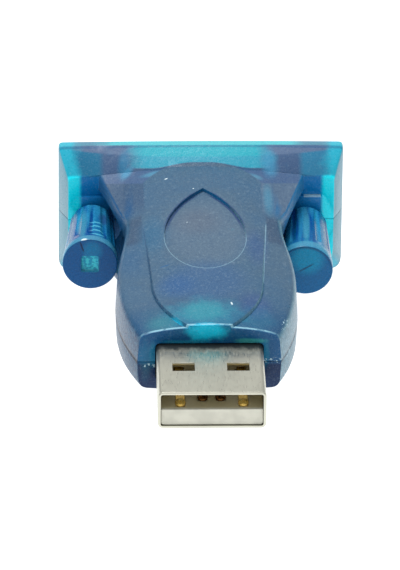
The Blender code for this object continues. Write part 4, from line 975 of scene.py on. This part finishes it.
def add_cylinder(name, radius, depth, vertices, location, rotation=(0.0, 0.0, 0.0)):
    """A closed cylinder whose sizes and place are given in millimetres."""
    deselect_all()
    bpy.ops.mesh.primitive_cylinder_add(
        vertices=vertices, radius=radius * MM, depth=depth * MM,
        location=[along * MM for along in location], rotation=rotation)
    obj = bpy.context.object
    obj.name = obj.data.name = name
    return obj


def join(objects, name):
    deselect_all()
    for obj in objects:
        obj.select_set(True)
    bpy.context.view_layer.objects.active = objects[0]
    bpy.ops.object.join()
    objects[0].name = objects[0].data.name = name
    return objects[0]


def copy_piece(model, name):
    """A copy of a piece that repeats, with a mesh of its own."""
    activate(model)
    bpy.ops.object.duplicate()
    piece = bpy.context.object
    piece.name = piece.data.name = name
    return piece


def cut(target, tool):
    settle(tool)
    boolean = target.modifiers.new("cut", "BOOLEAN")
    boolean.operation = "DIFFERENCE"
    boolean.solver = "EXACT"
    boolean.object = tool
    apply_modifiers(target)
    bpy.data.objects.remove(tool, do_unlink=True)


def turned(name, profile, steps):
    """A body spun about Z from (height, radius) points in millimetres, ring by ring."""
    deselect_all()
    (height, radius), *rest = [(z * MM, size * MM) for z, size in profile]
    bpy.ops.mesh.primitive_circle_add(vertices=steps, radius=radius, fill_type="NGON",
                                      location=(0.0, 0.0, height))
    obj = bpy.context.object
    obj.name = obj.data.name = name
    settle(obj)
    edit_all(obj)
    for next_height, next_radius in rest:
        bpy.ops.mesh.extrude_region_move(
            TRANSFORM_OT_translate={"value": (0.0, 0.0, next_height - height)})
        ratio = next_radius / radius
        bpy.ops.transform.resize(value=(ratio, ratio, 1.0))
        height, radius = next_height, next_radius
    bpy.ops.mesh.select_all(action="SELECT")
    bpy.ops.mesh.normals_make_consistent(inside=False)
    bpy.ops.object.mode_set(mode="OBJECT")
    return obj


def round_tip(strip, radius):
    """Draws a contact's front end back and sets a rounded, slightly raised tip in its place."""
    front_band, draw_back, overhang, flatness = 0.3 * MM, 0.8, 1.22, 0.42
    low_x, high_x, front = (pick(getattr(vertex.co, axis) for vertex in strip.data.vertices)
                            for pick, axis in ((min, "x"), (max, "x"), (min, "y")))
    nose = [vertex.index for vertex in strip.data.vertices if vertex.co.y < front + front_band]
    level = sum(strip.data.vertices[index].co.z for index in nose) / len(nose)
    move_vertices(strip, nose, (0.0, draw_back * radius, 0.0))
    deselect_all()
    bpy.ops.mesh.primitive_uv_sphere_add(
        segments=24, ring_count=12, radius=radius,
        location=((low_x + high_x) / 2, front + radius, level))
    tip = bpy.context.object
    tip.scale = (overhang * (high_x - low_x) / 2 / radius, 1.0, flatness)
    settle(tip)
    join([strip, tip], strip.name)


class ADAPTER_OT_plug(bpy.types.Operator):
    """Rounds and plates the plug's shell, its insulator and its contacts"""

    bl_idname = "adapter.plug"
    bl_label = "Plug"

    def execute(self, context):
        look = context.scene.adapter_plug
        nickel = metal_finish("nickel_steel", tuple(look.nickel), 0.32, 0.12, (10.2, 12.2))
        white = plastic_finish("white_plastic", tuple(look.plastic), 0.4, (0.35, 0.9))
        gold = metal_finish("contact_gold", tuple(look.gold), 0.3, 0.1, metallic=0.55)
        brown = metal_finish("contact_brown", srgb(120, 84, 48), 0.4, 0.1)
        dress("usb_plug_shell", "plug_shell", nickel, look.edge)
        dress("usb_plug_insulator", "plug_insulator", white, look.edge)
        for index, finish in enumerate((gold, brown, brown, gold), 1):
            node = "usb_contact_{}".format(index)
            strip = copy_solid(node, "plug_contact_{}".format(index))
            round_tip(strip, 0.85 * MM)
            round_edges(strip, 0.5 * look.edge)
            smooth(strip)
            hand_over(strip, HOUSING_BODY, finish, node)
        return {"FINISHED"}


def screw_frame(body):
    """Turns a piece made along Z from the knob's front face onto its thumbscrew's own axis."""
    joint = JOINTS[body]
    turn = Vector(joint["axis"]).normalized().to_track_quat("Z", "Y").to_matrix().to_4x4()
    return Matrix.Translation(Vector(joint["pos_m"])) @ turn


def make_barrel(look):
    """A knob's tapered barrel behind a plain collar, fluted and bored for its screw."""
    barrel = turned("knob_barrel", [
        (0.0, KNOB_FRONT - KNOB_EDGE), (0.3 * KNOB_EDGE, KNOB_FRONT - 0.3 * KNOB_EDGE),
        (KNOB_EDGE, KNOB_FRONT), (KNOB_COLLAR, 0.995 * KNOB_FRONT),
        (KNOB_COLLAR_END, 0.975 * KNOB_FRONT), (KNOB_LENGTH - 2 * KNOB_EDGE, KNOB_REAR),
        (KNOB_LENGTH - 0.6 * KNOB_EDGE, KNOB_REAR - 0.6 * KNOB_EDGE),
        (KNOB_LENGTH, KNOB_REAR - 2 * KNOB_EDGE),
    ], 96)
    slope = math.atan((KNOB_FRONT - KNOB_REAR) / KNOB_LENGTH)
    reach = (0.97 * KNOB_FRONT + KNOB_REAR) / 2 - look.flute_depth / MM + FLUTE_ROD
    depth = KNOB_LENGTH + 0.2
    rods = []
    for index in range(look.flutes):
        angle = math.tau * index / look.flutes
        out = Vector((math.cos(angle), math.sin(angle), 0.0))
        lean = Vector((0.0, 0.0, math.cos(slope))) - math.sin(slope) * out
        rods.append(add_cylinder(
            "flute_rod", FLUTE_ROD, depth, 32,
            reach * out + Vector((0.0, 0.0, FLUTE_START + depth / 2)),
            lean.to_track_quat("Z", "Y").to_euler()))
    cut(barrel, join(rods, "flute_rods"))
    bore_end = KNOB_LENGTH + 0.1
    cut(barrel, add_cylinder("screw_bore", BORE_RADIUS, bore_end - BORE_START, 48,
                             (0.0, 0.0, (bore_end + BORE_START) / 2)))
    return barrel


def make_knob(barrel, name, recess):
    """A knob from a copy of the barrel, on the left with a square recess in its face."""
    knob = copy_piece(barrel, name)
    if recess:
        deselect_all()
        bpy.ops.mesh.primitive_cube_add(size=KNOB_RECESS * MM, location=(0.0, 0.0, 0.0))
        block = bpy.context.object
        block.scale.z = 2 * KNOB_RECESS_DEPTH / KNOB_RECESS
        settle(block)
        round_edges(block, 0.25 * MM, segments=3)
        cut(knob, block)
    round_edges(knob, 0.04 * MM, 30.0)
    smooth(knob, 40.0)
    return knob


def make_thread(pitch, turns):
    """A thread wound from one tooth: a trapezium in the XZ plane, narrow at its crest."""
    foot = SCREW_ROOT * SCREW_RADIUS - 0.05
    middle = (foot + SCREW_RADIUS) / 2 * MM
    deselect_all()
    bpy.ops.mesh.primitive_plane_add(size=1.0, location=(middle, 0.0, 0.0),
                                     rotation=(math.pi / 2, 0.0, 0.0))
    thread = bpy.context.object
    thread.name = "thread_tooth"
    thread.scale = ((SCREW_RADIUS - foot) * MM, THREAD_FOOT * pitch, 1.0)
    settle(thread)
    edit_chosen(thread, [vertex.index for vertex in thread.data.vertices
                         if vertex.co.x > middle])
    bpy.ops.transform.resize(value=(1.0, 1.0, THREAD_CREST / THREAD_FOOT))
    bpy.ops.mesh.select_all(action="SELECT")
    bpy.ops.mesh.delete(type="ONLY_FACE")
    bpy.ops.object.mode_set(mode="OBJECT")
    winding = thread.modifiers.new("thread", "SCREW")
    winding.axis = "Z"
    winding.screw_offset = pitch
    winding.iterations = turns
    winding.steps = winding.render_steps = 32
    winding.use_merge_vertices = False
    apply_modifiers(thread)
    thread.location.z = THREAD_START * MM + 0.5 * pitch
    settle(thread)
    edit_all(thread)
    bpy.ops.mesh.remove_doubles(threshold=1e-7)
    bpy.ops.mesh.select_all(action="DESELECT")
    bpy.ops.mesh.select_non_manifold()
    bpy.ops.mesh.edge_face_add()
    bpy.ops.mesh.select_all(action="SELECT")
    bpy.ops.mesh.normals_make_consistent(inside=False)
    bpy.ops.object.mode_set(mode="OBJECT")
    return thread


def make_screw(name, look):
    """A ringed end in the knob, a neck through the wall and a cut thread at the tip."""
    root = SCREW_ROOT * SCREW_RADIUS
    profile = [(SCREW_START, 0.92 * root), (SCREW_START + 0.1, root)]
    for ring in range(SCREW_RINGS):
        z = SCREW_START + 0.35 + RING_PITCH * ring
        profile += [(z, root), (z + 0.12, SCREW_RADIUS), (z + 0.42, SCREW_RADIUS),
                    (z + 0.54, root)]
    profile += [(NECK_START, root), (NECK_START + 0.05, NECK_RADIUS),
                (THREAD_START - 0.4, NECK_RADIUS), (THREAD_START, root),
                (SCREW_TIP - 0.35, root), (SCREW_TIP, 0.72 * root)]
    rod = turned(name, profile, 40)
    turns = int((SCREW_TIP * MM - 0.5 * MM - THREAD_START * MM) / look.pitch)
    screw = join([rod, make_thread(look.pitch, turns)], name)
    smooth(screw, 30.0, weighted=False)
    return screw


class ADAPTER_OT_thumbscrews(bpy.types.Operator):
    """Models both thumbscrews: fluted clear knobs on ringed and threaded screws"""

    bl_idname = "adapter.thumbscrews"
    bl_label = "Thumbscrews"

    def execute(self, context):
        look = context.scene.adapter_screws
        clear = knob_finish(look)
        zinc = metal_finish("screw_steel", srgb(200, 202, 204), 0.28, 0.1)
        barrel = make_barrel(look)
        model_screw = make_screw("model_screw", look)
        for side in ("left", "right"):
            body = side + "_thumbscrew"
            knob = make_knob(barrel, side + "_fluted_knob", side == "left")
            screw = copy_piece(model_screw, side + "_threaded_screw")
            for piece, slot, finish, node in (
                (knob, "blue_knob", clear, side + "_knob"),
                (screw, "screw_steel", zinc, side + "_screw"),
            ):
                piece.matrix_world = screw_frame(body)
                settle(piece)
                hand_over(piece, body, finish, node)
        bpy.data.objects.remove(barrel, do_unlink=True)
        bpy.data.objects.remove(model_screw, do_unlink=True)
        return {"FINISHED"}


def make_pin(name, length):
    """A pin with a wider solder cup and a rounded nose, along Z."""
    nose = [(length - back * PIN_RADIUS, share * PIN_RADIUS)
            for back, share in ((1.2, 1.0), (0.7, 0.88), (0.25, 0.55), (0.0, 0.12))]
    return turned(name, [(0.0, CUP_RADIUS), (CUP_LENGTH, CUP_RADIUS),
                         (CUP_LENGTH + 0.02, PIN_RADIUS), *nose], 32)


class ADAPTER_OT_connector(bpy.types.Operator):
    """Rounds and plates the D connector's shells and core, and turns its nine pins"""

    bl_idname = "adapter.connector"
    bl_label = "D connector"

    def execute(self, context):
        look = context.scene.adapter_connector
        steel = metal_finish("tin_steel", tuple(look.steel), 0.32, 0.14)
        black = plastic_finish("black_plastic", tuple(look.core), 0.45)
        dress("dsub_face_shell", "connector_face", steel, look.edge)
        dress("dsub_rear_shell", "connector_back", steel, look.edge)
        dress("dsub_core", "connector_core", black, look.edge)
        gold = metal_finish("pin_gold", srgb(222, 190, 118), 0.22, 0.08)
        low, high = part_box("dsub_pin_1")
        model_pin = make_pin("model_pin", (high.y - low.y) / MM)
        for index in range(1, 10):
            node = "dsub_pin_{}".format(index)
            low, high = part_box(node)
            row = PIN_ROW if index <= 5 else -PIN_ROW
            pin = copy_piece(model_pin, "contact_pin_{}".format(index))
            pin.rotation_euler = (-math.pi / 2, 0.0, 0.0)
            pin.location = ((low.x + high.x) / 2, low.y, MIDDLE_Z + row * MM)
            settle(pin)
            smooth(pin, 40.0)
            hand_over(pin, HOUSING_BODY, gold, node)
        bpy.data.objects.remove(model_pin, do_unlink=True)
        return {"FINISHED"}


class ADAPTER_OT_board(bpy.types.Operator):
    """Dresses the circuit board and the parts on it, inside the housing"""

    bl_idname = "adapter.board"
    bl_label = "Board"

    def execute(self, context):
        chip = plastic_finish("chip_black", srgb(34, 34, 36), 0.5)
        can = metal_finish("can_steel", srgb(190, 190, 188), 0.3, 0.1)
        ceramic = plastic_finish("ceramic", srgb(160, 120, 84), 0.5)
        for node, slot, finish, edge in (
            ("circuit_board", "board_green", board_finish(), 0.03),
            ("bridge_chip", "chip_black", chip, 0.03),
            ("driver_chip", "chip_black", chip, 0.03),
            ("crystal_can", "can_steel", can, 0.08),
            ("resistor_1", "chip_black", chip, 0.02),
            ("resistor_2", "chip_black", chip, 0.02),
            *(("capacitor_{}".format(index), "ceramic", ceramic, 0.03)
              for index in range(1, 6)),
        ):
            dress(node, node + "_finished", finish, edge * MM)
        return {"FINISHED"}


def lay_floor(look):
    deselect_all()
    bpy.ops.mesh.primitive_plane_add(size=4.0, location=(0.0, 0.0, -0.02 * MM))
    floor = bpy.context.object
    floor.name = "paper_floor"
    paper = Finish("paper", tuple(look.paper), 0.8)
    paper.shader.inputs["Emission Color"].default_value = (1.0, 1.0, 1.0, 1.0)
    paper.shader.inputs["Emission Strength"].default_value = look.paper_light
    floor.data.materials.append(paper.material)


def light_sky(look):
    """Even white light, weaker towards the horizon."""
    world = bpy.data.worlds.new("white_room")
    world.use_nodes = True
    tree = world.node_tree
    background = tree.nodes["Background"]
    background.inputs["Strength"].default_value = look.sky
    direction = tree.nodes.new("ShaderNodeTexCoord")
    split = tree.nodes.new("ShaderNodeSeparateXYZ")
    ceiling = tree.nodes.new("ShaderNodeMapRange")
    for name, number in (("From Min", 0.0), ("From Max", 0.9),
                         ("To Min", look.horizon), ("To Max", 1.0)):
        ceiling.inputs[name].default_value = number
    tree.links.new(direction.outputs["Generated"], split.inputs["Vector"])
    tree.links.new(split.outputs["Z"], ceiling.inputs["Value"])
    tree.links.new(ceiling.outputs["Result"], background.inputs["Color"])
    return world


def hang_lamp(look):
    bpy.ops.object.light_add(type="AREA", location=LAMP_PLACE)
    lamp = bpy.context.object
    lamp.name = "top_softbox"
    lamp.data.size = LAMP_SIZE
    lamp.data.energy = look.lamp
    lamp.rotation_euler = (-Vector(LAMP_PLACE)).to_track_quat("-Z", "Y").to_euler()


def set_camera():
    yaw, pitch, roll = (math.radians(angle) for angle in CAMERA_ANGLES)
    forward = Vector((math.sin(yaw) * math.cos(pitch), math.cos(yaw) * math.cos(pitch),
                      -math.sin(pitch)))
    level = Vector((math.cos(yaw), -math.sin(yaw), 0.0))
    upright = level.cross(forward)
    right = level * math.cos(roll) + upright * math.sin(roll)
    up = upright * math.cos(roll) - level * math.sin(roll)
    turn = Matrix((right, up, -forward)).transposed()
    bpy.ops.object.camera_add(location=place(*CAMERA_PLACE), rotation=turn.to_euler())
    camera = bpy.context.object
    camera.data.sensor_width = 36.0
    camera.data.lens = CAMERA_LENS
    camera.data.clip_start = 0.01
    camera.data.clip_end = 10.0
    return camera


class ADAPTER_OT_stage(bpy.types.Operator):
    """Adds the pale floor, the even light and the camera"""

    bl_idname = "adapter.stage"
    bl_label = "Stage"

    def execute(self, context):
        scene = context.scene
        look = scene.adapter_stage
        lay_floor(look)
        scene.world = light_sky(look)
        hang_lamp(look)
        scene.camera = set_camera()
        scene.view_settings.view_transform = "Standard"
        scene.view_settings.look = "None"
        return {"FINISHED"}


class ADAPTER_PT_pieces(bpy.types.Panel):
    """Lists the adapter's pieces and their settings"""

    bl_label = "Adapter"
    bl_idname = "ADAPTER_PT_pieces"
    bl_space_type = "VIEW_3D"
    bl_region_type = "UI"
    bl_category = "Adapter"

    def draw(self, context):
        for operator, group in STEPS:
            box = self.layout.box()
            box.operator(operator)
            if group:
                settings = getattr(context.scene, group)
                for name in settings.__annotations__:
                    box.prop(settings, name)


STEPS = (
    ("adapter.housing", "adapter_housing"),
    ("adapter.plug", "adapter_plug"),
    ("adapter.thumbscrews", "adapter_screws"),
    ("adapter.connector", "adapter_connector"),
    ("adapter.board", None),
    ("adapter.stage", "adapter_stage"),
)
GROUPS = (
    ("adapter_housing", HousingLook),
    ("adapter_plug", PlugLook),
    ("adapter_screws", ScrewLook),
    ("adapter_connector", ConnectorLook),
    ("adapter_stage", StageLook),
)
CLASSES = (
    ADAPTER_OT_housing,
    ADAPTER_OT_plug,
    ADAPTER_OT_thumbscrews,
    ADAPTER_OT_connector,
    ADAPTER_OT_board,
    ADAPTER_OT_stage,
    ADAPTER_PT_pieces,
)


def register():
    for name, group in GROUPS:
        bpy.utils.register_class(group)
        setattr(bpy.types.Scene, name, PointerProperty(type=group))
    for operator_or_panel in CLASSES:
        bpy.utils.register_class(operator_or_panel)


def unregister():
    for operator_or_panel in reversed(CLASSES):
        bpy.utils.unregister_class(operator_or_panel)
    for name, group in reversed(GROUPS):
        delattr(bpy.types.Scene, name)
        bpy.utils.unregister_class(group)


def main():
    register()
    for operator, _ in STEPS:
        group, name = operator.split(".")
        getattr(getattr(bpy.ops, group), name)()
    deselect_all()


if __name__ == "__main__":
    main()
